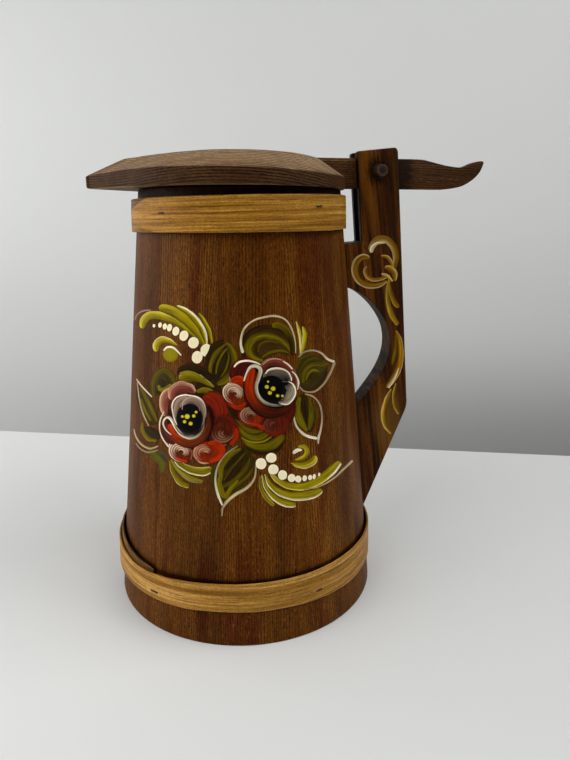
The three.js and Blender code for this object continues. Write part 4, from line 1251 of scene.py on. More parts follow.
def paint_flowers():
    p = Painting(barrel_points, (120, 290, 370, 530))
    S, B = p.stroke, p.blob

    # --- the fan of strokes and the string of dots, upper left
    S([(134.8, 320), (137.5, 314.5), (143, 311), (151, 310)], [1.0, 1.4, 1.5, 1.0], [(0, over(PALE, (100, 74, 52), 0.3)), (1, over(PALE, (100, 74, 52), 0.5))])
    S([(142.6, 328.5), (143.8, 321), (150, 315.8), (161, 316), (176, 321.5), (190, 331), (200, 340.5), (206.5, 348.5)], [4.6, 8, 8.4, 8, 7, 6, 4, 1.4],
      [(0, CREAM), (0.08, YELLOW), (0.3, LIME), (0.8, over(LIME, OLIVE, 0.7)), (1, MOSS)])
    S([(158.5, 308), (168, 309.5), (179.5, 315.5), (191, 325), (200, 336.5), (206.5, 348)], [6.5, 9.5, 10, 9, 7, 1.8], [(0, LIME), (0.2, LIME), (0.6, over(LIME, OLIVE, 0.4)), (0.8, OLIVE), (1, MOSS)])
    S([(177, 306), (187, 311.5), (196.5, 320.5), (203.5, 332.5), (207, 347)], [3.0, 5.5, 6.8, 6, 1.6], [(0, WHITE), (0.14, over(WHITE, CREAM, 0.4)), (0.26, CREAM), (0.42, LIME), (0.8, OLIVE), (1, MOSS)])
    S([(198.5, 313), (204.2, 321), (209, 331.5), (212, 343.5)], [1.6, 3.6, 4.4, 1.6], [(0, YELLOW), (0.3, LIME), (0.7, OLIVE), (1, MOSS)])
    for x, y, rx, ry, tl in ((154, 325.8, 1.3, 1.7, 0), (160, 325, 1.8, 2.6, 8), (164.8, 326.5, 2.1, 3.0, 10), (169.6, 327.6, 2.5, 3.7, 10), (176, 331.2, 3.4, 4.5, 15),
                             (184, 335.6, 4.3, 5.3, 20), (193.6, 342.7, 5.2, 5.7, 20), (197.2, 357.2, 5.3, 6.2, 10), (206, 350, 5.4, 6.2, 20)):
        B(x, y, rx, ry, [(0, (230, 217, 172)), (0.7, (236, 223, 184)), (1, (240, 228, 192))], tilt=tl, thick=1.3, cover=1.0)
    S([(156.6, 351.5), (156.3, 345), (161, 340.2), (168, 340.4), (177, 345.3)], [4.6, 7.0, 7.2, 5.4, 1.6], [(0, CREAM), (0.16, YELLOW), (0.4, LIME), (1, OLIVE)])
    B(170.6, 354.4, 7.8, 7.6, [(0, (134, 119, 3)), (0.75, (130, 114, 3)), (1, (110, 94, 5))], cover=1.0)
    S([(163.6, 350.8), (167.5, 347.2), (174, 348.0), (181.3, 355.4)], [1.2, 2.0, 1.9, 1.1], [(0, WHITE), (0.5, WHITE), (1, CREAM)])

    # --- shadows and leaves that lie under everything
    S([(206.5, 366), (209, 355), (214.5, 346), (224, 340.5)], [2.5, 6, 7, 4], [(0, SHADE), (1, SHADE)])
    S([(208, 384), (210, 367), (215.5, 353.5), (225, 344)], [6, 12, 13, 6], [(0, SHADE), (0.5, SHADE), (1, (36, 24, 8))])
    S([(216, 384), (222, 370), (227, 356), (228, 344)], [8, 17, 15, 5], [(0, (36, 24, 8)), (1, (50, 38, 8))])
    S([(211, 378), (211, 366), (216, 354), (226, 344)], [2, 5, 6, 2.5], [(0, MOSS), (0.3, OLIVE), (0.7, over(OLIVE, MOSS, 0.5)), (1, SHADE)])
    S([(216, 374), (218, 363), (223, 353), (228, 348)], [1.4, 2.6, 2.6, 1.2], [(0, MOSS), (0.5, OLIVE), (1, MOSS)])
    S([(217, 384), (226, 379), (233, 369), (234, 357), (230, 347), (226, 343)], [4, 8, 8, 7, 5, 2], [(0, SHADE), (0.35, over(OLIVE, MOSS, 0.5)), (0.7, over(OLIVE, LEAF, 0.4)), (1, OLIVE)])
    S([(221, 377), (226, 369), (229, 358), (228, 351)], [1, 2.4, 2.2, 1], [(0, MOSS), (0.5, OLIVE), (1, SHADE)])
    # leaf left of it, pointing left
    S([(178, 374), (183, 368), (192, 367), (204, 372), (214, 379)], [4, 6, 7, 7, 5], [(0, SHADE), (1, (30, 22, 12))])
    S([(196, 388), (203, 384), (212, 386), (222, 394)], [6, 9, 8, 5], [(0, SHADE), (1, (34, 24, 8))])
    S([(180, 379), (187, 377), (197, 377.5), (206, 382), (214, 387)], [9, 11, 8, 5, 2], [(0, CREAM), (0.08, BUD), (0.25, LEAF), (0.7, OLIVE), (1, MOSS)])
    S([(180, 373.5), (189, 371.5), (199, 375), (212, 385.5)], [2.4, 2.4, 2.2, 1.4], [(0, OLIVE), (0.5, BUD), (1, OLIVE)])
    S([(197, 392), (205, 390), (214, 394), (221, 401)], [4, 6, 6, 3], [(0, LEAF), (0.5, OLIVE), (1, MOSS)])
    S([(200, 389.5), (209, 388.5), (220, 396)], [1.2, 1.8, 1.2], [(0, OLIVE), (0.5, BUD), (1, OLIVE)])
    # hooked leaf at the left
    B(163.5, 384, 9.5, 13, [(0, (42, 33, 8)), (0.7, (50, 40, 8)), (1, SHADE)], tilt=-8)
    S([(154.5, 397), (154.2, 384), (158.5, 374.5), (164.5, 371.5), (170.5, 375.5), (173.5, 384), (170.5, 392)], [5, 7.5, 8.5, 8.5, 8, 6.5, 3], [(0, (64, 52, 6)), (0.3, (84, 72, 6)), (0.65, (66, 54, 6)), (1, (44, 34, 8))])
    S([(157.5, 391), (158, 382.5), (162, 378), (166.5, 380)], [2.4, 3.4, 3.4, 1.8], [(0, (44, 40, 26)), (0.5, (58, 52, 34)), (1, (40, 32, 12))])
    S([(158.6, 385), (160.5, 389.5), (166, 388.5), (171, 384)], [2.6, 4, 3.8, 2], [(0, (104, 90, 6)), (0.6, LEAF), (1, OLIVE)])
    # leaf on the left edge
    S([(139, 384), (143, 397), (149, 411), (155, 425)], [4, 13, 16, 8], [(0, (52, 40, 14)), (0.5, (52, 42, 10)), (1, SHADE)])
    S([(140, 387), (146, 397), (152, 410), (157, 422)], [1.6, 4, 4.6, 2.4], [(0, MOSS), (0.4, OLIVE), (1, MOSS)])
    S([(141, 398), (145, 410), (151, 421)], [2, 3.5, 2], [(0, MOSS), (0.5, OLIVE), (1, MOSS)])
    S([(136.5, 379), (143, 387.5), (152, 397)], [1.0, 1.6, 1.2], [(0, over(WHITE, PALE, 0.5)), (0.6, PALE), (1, over(PALE, (90, 60, 35), 0.4))])
    S([(137.5, 382), (139.5, 398), (143, 413), (149, 426)], [1.0, 1.3, 1.4, 1.0], [(0, PALE), (1, over(PALE, (90, 60, 35), 0.4))])
    # lower left
    S([(146, 427), (151, 433), (160, 438)], [6, 12, 6], [(0, SHADE), (1, (42, 36, 14))])
    S([(143, 422), (143.5, 431), (149, 438.5), (157, 440.5)], [2.2, 4, 4.6, 2.4], [(0, MOSS), (0.5, OLIVE), (1, LEAF)])
    S([(148, 450), (156, 456), (162, 464), (161, 473)], [4, 11, 9, 3], [(0, (88, 76, 20)), (0.6, (84, 82, 16)), (1, (66, 52, 20))])
    S([(156, 452), (163, 455), (166, 462)], [3, 7, 3], [(0, (70, 66, 40)), (1, (60, 52, 24))])
    S([(134, 429), (136.5, 437), (142, 444.5), (150, 448.5), (158, 446)], [1, 1.6, 1.8, 1.7, 1.2], [(0, over(PALE, BUD, 0.3)), (1, PALE)])
    S([(136, 443), (141, 449), (149, 452.5), (158, 450)], [1, 1.3, 1.3, 1], [(0, over(PALE, (90, 60, 35), 0.35)), (1, over(PALE, (90, 60, 35), 0.35))])
    # strokes under the left rose
    S([(170, 461), (173, 472), (180, 482), (189, 487)], [1.4, 4, 6, 3.5], [(0, OLIVE), (0.7, LEAF), (0.9, BUD), (1, CREAM)])
    S([(171, 459), (179, 470), (190, 478.5), (203, 481.5)], [2, 5, 6, 4], [(0, OLIVE), (0.5, (128, 118, 34)), (1, over(OLIVE, PALE, 0.4))])
    S([(173, 457), (181, 465), (193, 470.5), (204, 471.5), (212, 469)], [2, 6, 8, 9, 6], [(0, CREAM), (0.07, BUD), (0.3, LEAF), (0.82, OLIVE), (0.9, CREAM), (1, WHITE)])
    # big leaf below, between the roses
    S([(240, 447), (228, 458), (221, 473), (221, 488), (224, 499)], [6, 16, 20, 16, 4], [(0, SHADE), (0.5, (52, 44, 8)), (1, (60, 56, 8))])
    S([(244, 448), (243, 462), (236, 478), (227, 495)], [8, 24, 22, 4], [(0, (56, 48, 8)), (0.5, SHADE), (1, (44, 30, 10))])
    S([(241, 449), (230, 455), (222, 467), (221, 481)], [3, 5.5, 6.5, 3], [(0, MOSS), (0.4, OLIVE), (0.8, over(OLIVE, LEAF, 0.6)), (1, OLIVE)])
    S([(250, 458), (244, 470), (234, 480), (222, 487)], [2, 5, 6, 3], [(0, MOSS), (0.5, over(MOSS, OLIVE, 0.5)), (1, SHADE)])
    S([(253, 468), (245, 478), (234, 486), (225, 494)], [2, 4.5, 5, 3], [(0, MOSS), (0.5, over(MOSS, OLIVE, 0.6)), (1, SHADE)])
    S([(246, 452), (238, 461), (230, 470), (224, 480)], [1.6, 3.4, 3.6, 2], [(0, SHADE), (0.5, over(MOSS, OLIVE, 0.3)), (1, SHADE)])
    S([(219, 477), (220, 487), (225, 496), (231, 488), (238, 480)], [3, 6, 5, 4.5, 2], [(0, OLIVE), (0.4, LEAF), (1, OLIVE)])
    S([(242, 451), (236, 458), (230, 464), (224, 469)], [2, 5, 5, 2], [(0, (34, 28, 14)), (1, SHADE)])
    S([(238, 446), (226, 454), (218, 466), (215.5, 480), (218, 494), (222.5, 505)], [1.2, 1.5, 1.7, 2.0, 2.6, 1.6], [(0, over(PALE, MOSS, 0.4)), (1, PALE)],
      fade=[(0, MOSS, 0.5), (0.4, PALE, 0.2), (0.7, WHITE, 0.35), (1, WHITE, 0.7)])
    S([(256, 465), (254.5, 478), (247, 487.5), (236, 494), (227.5, 501), (223, 508), (222, 516)], [1.2, 2.0, 3.0, 3.4, 3.2, 2.4, 1.0], [(0, over(PALE, MOSS, 0.3)), (0.5, over(PALE, CREAM, 0.5)), (1, over(PALE, MOSS, 0.2))])
    # strokes below the right rose
    S([(236, 418), (243, 427), (252, 431), (262, 431)], [3, 6, 6, 3], [(0, MOSS), (0.5, OLIVE), (1, MOSS)])
    S([(246, 447), (260, 452.5), (275, 450), (284, 440)], [3, 5, 6, 3], [(0, SHADE), (1, (40, 28, 8))])
    S([(238, 426), (245, 434.5), (256, 438), (266, 434), (271, 428)], [2, 6, 7.5, 6, 3], [(0, SHADE), (0.25, OLIVE), (0.7, over(OLIVE, LEAF, 0.4)), (1, MOSS)])
    S([(241, 436), (249, 443.5), (262, 446.5), (274, 443), (283, 434)], [2, 6, 9, 11, 9], [(0, SHADE), (0.14, MOSS), (0.4, over(OLIVE, LEAF, 0.5)), (0.75, OLIVE), (1, MOSS)])
    S([(242, 438), (252, 442), (264, 441), (273, 435)], [1.4, 2.0, 2.0, 1.2], [(0, OLIVE), (0.5, BUD), (1, OLIVE)])
    # leaf above the right rose
    S([(262, 362), (251, 357), (248, 345), (256, 335), (270, 332), (284, 338), (293, 350)], [8, 14, 16, 16, 14, 12, 8], [(0, (40, 24, 10)), (1, (66, 44, 12))])
    S([(266, 358), (262, 350), (270, 344), (282, 346), (290, 354)], [12, 16, 16, 16, 10], [(0, (58, 38, 10)), (1, (64, 44, 14))])
    S([(263, 361), (252, 357), (248.5, 347), (254, 338.5), (265, 335.5), (277, 338.5), (287, 345), (291, 352)], [4, 7, 8.5, 8, 6.5, 6, 5, 2], [(0, MOSS), (0.3, OLIVE), (0.65, over(OLIVE, LEAF, 0.6)), (1, MOSS)])
    S([(262, 358), (270, 353), (281, 351), (290, 354)], [2, 4.5, 4, 2], [(0, MOSS), (0.5, OLIVE), (1, SHADE)])
    S([(258, 352), (260, 345), (268, 341), (278, 343)], [1.5, 3, 3, 1.5], [(0, MOSS), (0.5, over(MOSS, OLIVE, 0.5)), (1, (64, 44, 14))])
    S([(272, 326), (279, 325.5), (287, 331), (292, 342), (293, 356)], [5, 6, 7, 7, 4], [(0, OLIVE), (0.4, MOSS), (1, SHADE)],
      fade=[(0, LEAF, 0.75), (0.3, OLIVE, 0.35), (0.6, SHADE, 0.6), (1, SHADE, 0.8)])
    S([(243, 353), (240.8, 343), (243.5, 330), (252, 321.5), (263, 317.5), (275, 316), (285, 319.5), (291.5, 329), (295, 341), (295.5, 353)],
      [3.2, 2.4, 2.0, 1.8, 2.0, 2.2, 1.8, 1.6, 1.4, 1.0], [(0, over(PALE, CREAM, 0.4)), (0.5, over(PALE, CREAM, 0.6)), (1, over(PALE, (90, 60, 35), 0.4))],
      fade=[(0, WHITE, 0.65), (0.15, WHITE, 0.2), (1, (110, 84, 60), 0.35)])
    S([(296.3, 321.5), (299, 331), (301, 343), (300.5, 355)], [1.4, 3.4, 3.6, 1.2], [(0, LIME), (0.35, LIME), (0.8, CREAM), (1, YELLOW)])
    S([(303, 326.5), (305, 335), (303.5, 346), (300, 356)], [2.2, 4.8, 4.4, 1.2], [(0, OLIVE), (0.4, LIME), (0.8, YELLOW), (1, CREAM)])
    # pointed leaf at the right
    S([(300, 372), (308, 368), (318, 367), (328, 364)], [20, 30, 24, 5], [(0, (72, 64, 12)), (0.5, (76, 66, 12)), (1, (52, 38, 14))])
    S([(301, 377), (306, 385), (314, 385), (321, 378)], [7, 10, 10, 6], [(0, (60, 48, 14)), (1, (56, 42, 14))])
    S([(302, 388), (311, 387.5), (320, 381), (326, 370)], [3, 7, 8, 4], [(0, (60, 46, 12)), (0.6, (52, 38, 12)), (1, (44, 30, 12))])
    S([(299.5, 380), (301, 369), (306, 361.5), (314, 358.5), (323, 361)], [4, 7, 7.5, 6.5, 2.4], [(0, (58, 46, 8)), (0.45, (70, 58, 6)), (1, (60, 48, 8))])
    S([(302.5, 383), (304, 374), (309, 367.5), (316, 365), (321.5, 366.5)], [3, 5, 5.4, 4.4, 1.6], [(0, MOSS), (0.4, OLIVE), (1, (60, 48, 8))])
    S([(306, 380), (308.5, 373.5), (313.5, 370.5), (318.5, 371.5)], [1.6, 3.4, 3.4, 1.4], [(0, OLIVE), (0.5, over(OLIVE, LEAF, 0.6)), (1, (58, 46, 8))])
    S([(309, 377), (313.5, 374.3), (317.5, 375.5)], [1, 2, 1], [(0, (44, 32, 8)), (1, (56, 44, 8))])
    S([(298.5, 357), (304, 352), (313, 350.3), (321, 353), (327.5, 359), (334.5, 362)], [1.2, 1.5, 1.7, 1.8, 2.2, 2.8], [(0, over(PALE, (90, 60, 35), 0.25)), (1, PALE)],
      fade=[(0, PALE, 0), (0.7, WHITE, 0.1), (1, WHITE, 0.75)])
    S([(334.5, 362), (330, 373), (323, 384.5), (314, 391.5), (304, 391), (299, 386)], [2.4, 2.0, 2.0, 1.8, 1.5, 1.0], [(0, over(PALE, (90, 60, 35), 0.15)), (1, over(PALE, (90, 60, 35), 0.3))])
    # leaf under it
    S([(303, 394), (303, 407), (306, 420), (311, 432)], [6, 19, 22, 7], [(0, (50, 36, 10)), (0.5, SHADE), (1, (60, 46, 12))])
    S([(300, 397), (297.5, 408), (300, 420), (307, 431)], [3, 6, 7, 3], [(0, OLIVE), (0.4, over(OLIVE, LEAF, 0.7)), (1, OLIVE)])
    S([(309, 398), (311, 408), (311, 419), (309, 430)], [2, 5, 6, 3], [(0, MOSS), (0.5, OLIVE), (1, MOSS)])
    S([(314, 404), (317, 414), (315, 424)], [1.6, 3.4, 2], [(0, MOSS), (1, (66, 52, 16))])
    S([(304.5, 400), (304.8, 410), (305.5, 421)], [2, 3.2, 2], [(0, (34, 22, 8)), (1, SHADE)])
    S([(305, 394), (313, 396.5), (319.5, 404), (322, 416), (321, 428), (318.3, 438), (318.2, 444)], [1, 1.5, 1.6, 1.6, 1.8, 2.4, 1.2], [(0, over(PALE, (90, 60, 35), 0.25)), (1, PALE)],
      fade=[(0, PALE, 0), (0.6, PALE, 0.2), (0.9, WHITE, 0.6), (1, WHITE, 0.4)])
    S([(295, 404), (293.8, 416), (297, 427), (305, 435), (317, 438.5)], [1.2, 1.6, 2.0, 2.6, 2.8], [(0, PALE), (1, over(PALE, WHITE, 0.5))],
      fade=[(0, PALE, 0.2), (0.5, WHITE, 0.35), (1, WHITE, 0.8)])

    # --- left rose
    GLAZE = (36, 19, 8)
    B(197, 426, 31, 33, [(0, GLAZE), (0.8, GLAZE), (1, (44, 24, 9))], rough=0.12)
    B(222, 432, 13.5, 14, [(0, (52, 20, 8)), (0.6, (84, 26, 8)), (1, (60, 20, 8))])
    S([(207, 393), (217, 397), (225, 406), (226, 415)], [6, 11, 12, 7], [(0, (70, 20, 9)), (0.35, (120, 30, 8)), (1, (96, 22, 9))])
    S([(203, 397), (211, 401), (217, 409), (218, 418)], [7, 12, 12, 7], [(0, (128, 32, 8)), (0.6, (112, 26, 9)), (1, (70, 18, 9))])
    S([(214, 425), (220, 417.5), (230, 420), (236, 430), (234, 441)], [3, 6, 7, 7, 4], [(0, (88, 28, 8)), (0.4, (58, 18, 8)), (1, (44, 15, 7))], fade=[(0, (60, 20, 8), 0.3), (0.6, RED, 0.3), (1, ORANGE, 0.8)])
    S([(236, 428), (236.5, 437), (230, 444)], [2.5, 4.5, 3], [(0, ORANGE), (1, RED)])
    S([(214, 440), (219, 445.5), (227, 444.5)], [2, 3.4, 2], [(0, (120, 66, 46)), (1, (92, 34, 14))])
    swirl(p, 223, 433, 10.5, 205, -215, 7, (150, 104, 80), (74, 27, 12), tilt=-10)
    B(207, 452.5, 14.5, 11.5, [(0, (84, 26, 8)), (0.5, (124, 34, 6)), (0.85, RED), (1, (118, 30, 6))])
    S([(208, 443.5), (216, 444), (221.5, 449), (219, 456), (210, 461)], [4, 7.5, 8, 7, 4], [(0, ORANGE), (0.4, (170, 44, 4)), (1, (134, 32, 5))])
    S([(196, 449), (196, 456), (201, 462), (209, 463)], [1.6, 2.2, 2.2, 1.4], [(0, (150, 96, 72)), (0.5, (196, 150, 118)), (1, (170, 118, 88))])
    swirl(p, 205, 453, 10.8, -85, -195, 9, (200, 152, 122), (120, 44, 16), tilt=8)
    B(181, 452, 12.0, 10.5, [(0, (84, 30, 10)), (0.6, (104, 30, 8)), (1, (90, 28, 9))])
    S([(171, 452), (178, 459), (188, 461.5)], [2, 3.6, 3.2], [(0, ORANGE), (0.6, (150, 44, 8)), (1, RED)])
    S([(170.5, 450), (171, 444.5), (176, 441.5), (184, 443)], [1.8, 2.8, 2.8, 1.6], [(0, (224, 206, 176)), (0.6, (186, 146, 116)), (1, (120, 62, 40))])
    swirl(p, 181, 451.8, 11.4, -50, -250, 10, (232, 214, 184), (112, 50, 28), tilt=28)
    S([(188, 446), (192.5, 452), (191.5, 459)], [1.4, 2.6, 1.8], [(0, (92, 36, 18)), (0.5, (140, 84, 60)), (1, (92, 36, 18))])
    S([(166, 416), (164.5, 406), (166, 396.5), (172.5, 390.5), (177, 392)], [4, 9, 10.5, 8, 4], [(0, (206, 164, 132)), (0.12, (176, 124, 96)), (0.4, (132, 74, 56)), (1, (96, 38, 28))])
    S([(172, 400), (174.5, 390.5), (182, 386.8), (190, 388.3), (195, 393)], [6, 11, 12, 9, 4], [(0, (204, 166, 136)), (0.10, (170, 118, 92)), (0.4, (120, 58, 46)), (1, (84, 29, 22))])
    S([(167, 417), (164, 425), (167.5, 436), (176, 443)], [4, 9, 10, 5], [(0, (84, 34, 26)), (1, (66, 22, 18))])
    S([(165, 411.5), (161.4, 419), (160.6, 428.5), (163.5, 438), (169.5, 446.5)], [0.9, 1.2, 1.3, 1.4, 1.4], [(0, PALE), (0.4, over(WHITE, PALE, 0.4)), (1, over(WHITE, PALE, 0.6))])
    # the band round the cup: orange where the light falls, dark brown further round; a dark line outside it
    S([(208.5, 405), (212.6, 414), (211.6, 428), (203.5, 440), (190, 446.5), (178, 443)], [1.2, 2.0, 2.4, 2.6, 2.4, 1.4], [(0, (44, 14, 7)), (1, (30, 10, 6))])
    S([(170, 423.5), (174, 433.5), (183, 441), (194, 442), (203, 436.5), (208.6, 426), (208.8, 411)], [4.5, 8, 9.5, 9.5, 8, 6, 2], [(0, (74, 26, 7)), (0.3, (140, 42, 5)), (0.65, (104, 36, 7)), (1, (64, 24, 7))],
      fade=[(0, (170, 48, 5), 0.75), (0.16, (150, 42, 5), 0.45), (0.36, (84, 31, 8), 0.35), (0.6, (76, 30, 8), 0.55), (1, (44, 17, 7), 0.75)])
    S([(178, 437), (187, 441), (197, 439.5), (205, 431), (208, 420)], [0.8, 1.6, 1.8, 1.6, 0.8], [(0, (118, 52, 14)), (1, (88, 34, 9))])
    S([(171, 424), (175.5, 432.5), (184, 438)], [2.4, 3, 1.4], [(0, (176, 52, 5)), (1, (156, 44, 5))])
    # the cup: dark well, grey petals that fade into it, and thin pale edges
    B(189.6, 415.5, 16.0, 19.0, [(0, INK), (0.7, INK), (0.92, (28, 22, 22)), (1, (62, 50, 44))], tilt=-6)
    S([(177, 425), (177.2, 413), (180, 404.5), (184.5, 401), (190, 401)], [3, 7, 10.5, 11, 7], [(0, (156, 130, 112)), (0.3, (134, 106, 92)), (0.62, (92, 64, 56)), (1, (26, 18, 20))])
    S([(185, 413), (186.6, 406), (191.5, 403), (197.4, 404.6), (200.8, 410), (201.6, 419), (199.2, 427.5)], [6, 12, 14.6, 14, 9.6, 7, 3], [(0, (156, 130, 110)), (0.24, (134, 108, 92)), (0.5, (98, 72, 62)), (0.8, (36, 25, 27)), (1, INK)])
    B(190.2, 418, 13.6, 14.6, [(0, INK), (0.85, INK), (1, (18, 16, 20))], tilt=-8, rough=0.08)
    S([(177, 411), (178, 404), (182, 400)], [0.8, 1.2, 0.8], [(0, (150, 124, 106)), (1, (110, 86, 74))])
    S([(194, 401.5), (198.5, 405.5), (200.5, 411)], [0.7, 1.0, 0.7], [(0, (140, 112, 96)), (1, (98, 74, 64))])
    S([(182.8, 409.5), (183.6, 402.5), (187.5, 398.8), (192, 397.6)], [0.7, 1.1, 1.1, 0.7], [(0, (186, 164, 140)), (1, (150, 124, 106))])
    S([(177.6, 424.5), (174.3, 416), (172.9, 405), (176.5, 397.9), (183.5, 395), (190, 395.2), (197.5, 396.8), (203, 401), (205.9, 408.5), (206, 417)],
      [0.6, 1.2, 1.3, 1.4, 1.3, 1.2, 1.4, 1.4, 1.1, 0.7], [(0, WHITE), (0.5, WHITE), (1, (190, 172, 146))], fade=[(0, WHITE, 0.0), (0.62, WHITE, 0.1), (0.8, (140, 118, 102), 0.5), (1, (84, 64, 56), 0.85)])
    S([(172.4, 434.4), (166.8, 429.3), (164.2, 423), (165.8, 418.4), (169.3, 416.9), (172.8, 420), (176.6, 427), (182.6, 434.2), (190, 437.4), (197.5, 435.6), (202.8, 429.5), (205, 421)], [0.8, 1.3, 1.6, 1.9, 2.3, 2.6, 2.7, 2.9, 3.0, 2.8, 2.0, 1.0],
      [(0, (150, 134, 116)), (0.45, (190, 174, 148)), (0.7, WHITE), (1, (214, 198, 168))], fade=[(0, WHITE, 0.5), (0.3, WHITE, 0.1), (0.55, (196, 180, 154), 0.3), (0.72, (126, 110, 96), 0.6), (0.86, (78, 62, 54), 0.8), (1, (50, 34, 28), 0.9)])
    S([(175.5, 424.5), (180.2, 431.5), (187, 435.4), (194.5, 434.6)], [0.6, 1.1, 1.2, 0.7], [(0, (96, 84, 76)), (1, (78, 68, 62))])
    for x, y, r in ((183, 416.2, 1.5), (187.8, 416.2, 2.7), (194.3, 415.6, 1.8), (196.6, 411.8, 1.5), (185.2, 421.4, 1.8), (191.2, 423.2, 2.1)):
        B(x, y, r, r * 0.95, [(0, (214, 196, 40)), (0.7, (196, 178, 30)), (1, (150, 134, 20))], thick=1.4, cover=1.0)

    # --- right rose
    B(260, 396, 33, 33, [(0, GLAZE), (0.8, GLAZE), (1, (42, 22, 8))], rough=0.12)
    S([(289, 394), (291.5, 404), (289, 416), (281, 427)], [5, 8, 9.5, 6], [(0, (60, 16, 7)), (0.5, (88, 21, 9)), (1, (76, 18, 8))])
    S([(246, 404), (258, 416), (274, 421), (288, 414)], [10, 14, 14, 9], [(0, (84, 24, 8)), (0.5, (66, 20, 8)), (1, (92, 24, 8))])
    B(237, 372, 7.5, 10.5, [(0, (70, 20, 10)), (1, (58, 16, 9))], tilt=20)
    S([(235, 379), (238, 368.5), (246, 363.5), (256, 366)], [8, 14, 13, 7], [(0, (84, 19, 11)), (0.6, (66, 18, 10)), (1, (54, 16, 9))])
    S([(243, 384), (247, 374), (255, 367)], [9, 10, 6], [(0, (66, 20, 9)), (1, (82, 24, 9))])
    S([(229, 391), (233, 383), (240, 381), (245, 390)], [5, 9, 11, 8], [(0, (168, 42, 4)), (0.6, (140, 36, 5)), (1, (96, 26, 7))])
    B(241, 409, 7, 8, [(0, (62, 20, 8)), (1, (46, 16, 8))])
    B(235, 396, 11.5, 11.5, [(0, (84, 30, 10)), (0.6, (116, 34, 7)), (1, (98, 28, 7))], tilt=-30)
    S([(229, 400), (234, 406), (241, 407), (246, 402)], [2, 4, 5, 3], [(0, (164, 42, 5)), (1, (122, 33, 7))])
    S([(226.5, 396), (225.6, 389.5), (229, 384.6), (234, 384)], [1.8, 3.4, 3.4, 1.8], [(0, WHITE), (0.5, (220, 204, 172)), (1, (150, 104, 78))])
    swirl(p, 234, 393.5, 11.2, -40, -255, 10, (232, 216, 186), (112, 50, 28), tilt=34)
    B(251, 416, 12.5, 10, [(0, (92, 28, 8)), (0.7, (128, 34, 6)), (1, (104, 28, 7))], tilt=10)
    S([(241.5, 411), (243.5, 418), (251, 424), (260, 425)], [2, 4, 4, 2.4], [(0, (168, 44, 5)), (1, (130, 34, 6))])
    S([(248, 408.5), (257, 409.5), (262, 416)], [2, 3.4, 2.4], [(0, (142, 40, 6)), (1, (110, 30, 7))])
    S([(256, 423.5), (262, 427.5), (268, 425)], [3, 5, 3], [(0, (162, 44, 6)), (1, (120, 32, 7))])
    swirl(p, 250, 415.3, 9.4, -60, -240, 8, (176, 142, 114), (88, 34, 17), tilt=14)
    B(276, 425, 13, 9.5, [(0, (76, 28, 16)), (0.6, (94, 28, 12)), (1, (86, 25, 9))], tilt=-14)
    S([(264, 431), (275, 434), (287, 429)], [2, 4, 3], [(0, (112, 28, 6)), (1, (92, 24, 7))])
    swirl(p, 272, 424.5, 8.5, -70, -220, 6, (112, 66, 48), (84, 30, 16), tilt=-10)
    # the band round the cup, as on the other
    S([(247.3, 371), (244.3, 385), (246.8, 399.5), (256.5, 411.5), (270, 416.5), (284, 413.3)], [1.6, 2.6, 3.4, 4, 4, 2.4], [(0, (38, 12, 6)), (1, (54, 16, 7))])
    S([(253, 367.5), (249.3, 380), (250.6, 394), (257.6, 405), (268.5, 411.3), (282, 410.8), (292, 404)], [6.5, 9.5, 10, 9.5, 9, 7.5, 3], [(0, (110, 34, 6)), (0.3, (170, 44, 4)), (0.7, (150, 38, 5)), (1, (98, 29, 7))],
      fade=[(0, (172, 46, 4), 0.3), (0.26, (166, 42, 4), 0.2), (0.40, (92, 29, 7), 0.55), (0.56, (50, 21, 7), 0.85), (0.8, (36, 17, 8), 0.9), (1, (44, 16, 8), 0.9)])
    S([(257.5, 372), (254.8, 381), (255.6, 392), (260.5, 400.5), (268, 405.5)], [2, 3, 3.4, 3, 2], [(0, (122, 38, 6)), (1, (66, 22, 7))], fade=[(0, (120, 36, 6), 0.3), (0.5, (84, 27, 7), 0.4), (1, (44, 18, 8), 0.8)])
    # mauve petals behind the cup
    S([(262, 375), (264, 366.3), (271, 362), (280, 363), (288, 368.3), (293.5, 377), (294.6, 387)], [4, 7.5, 8, 8, 8, 7, 3.5], [(0, (150, 98, 76)), (0.2, (116, 56, 42)), (0.6, (96, 40, 30)), (1, (76, 27, 20))])
    S([(262.5, 364.5), (268, 360.2), (275, 358.6), (281, 360)], [0.6, 1.0, 1.1, 0.7], [(0, (206, 170, 140)), (1, (170, 122, 98))])
    S([(282.5, 361), (287.5, 364.3), (292, 369.3)], [1.1, 1.7, 1.4], [(0, WHITE), (1, (190, 150, 122))])
    S([(291.5, 371), (295.5, 375.5), (298, 382), (297, 389.5)], [0.9, 1.7, 2.0, 1.2], [(0, WHITE), (0.6, over(WHITE, PALE, 0.3)), (1, (176, 136, 108))])
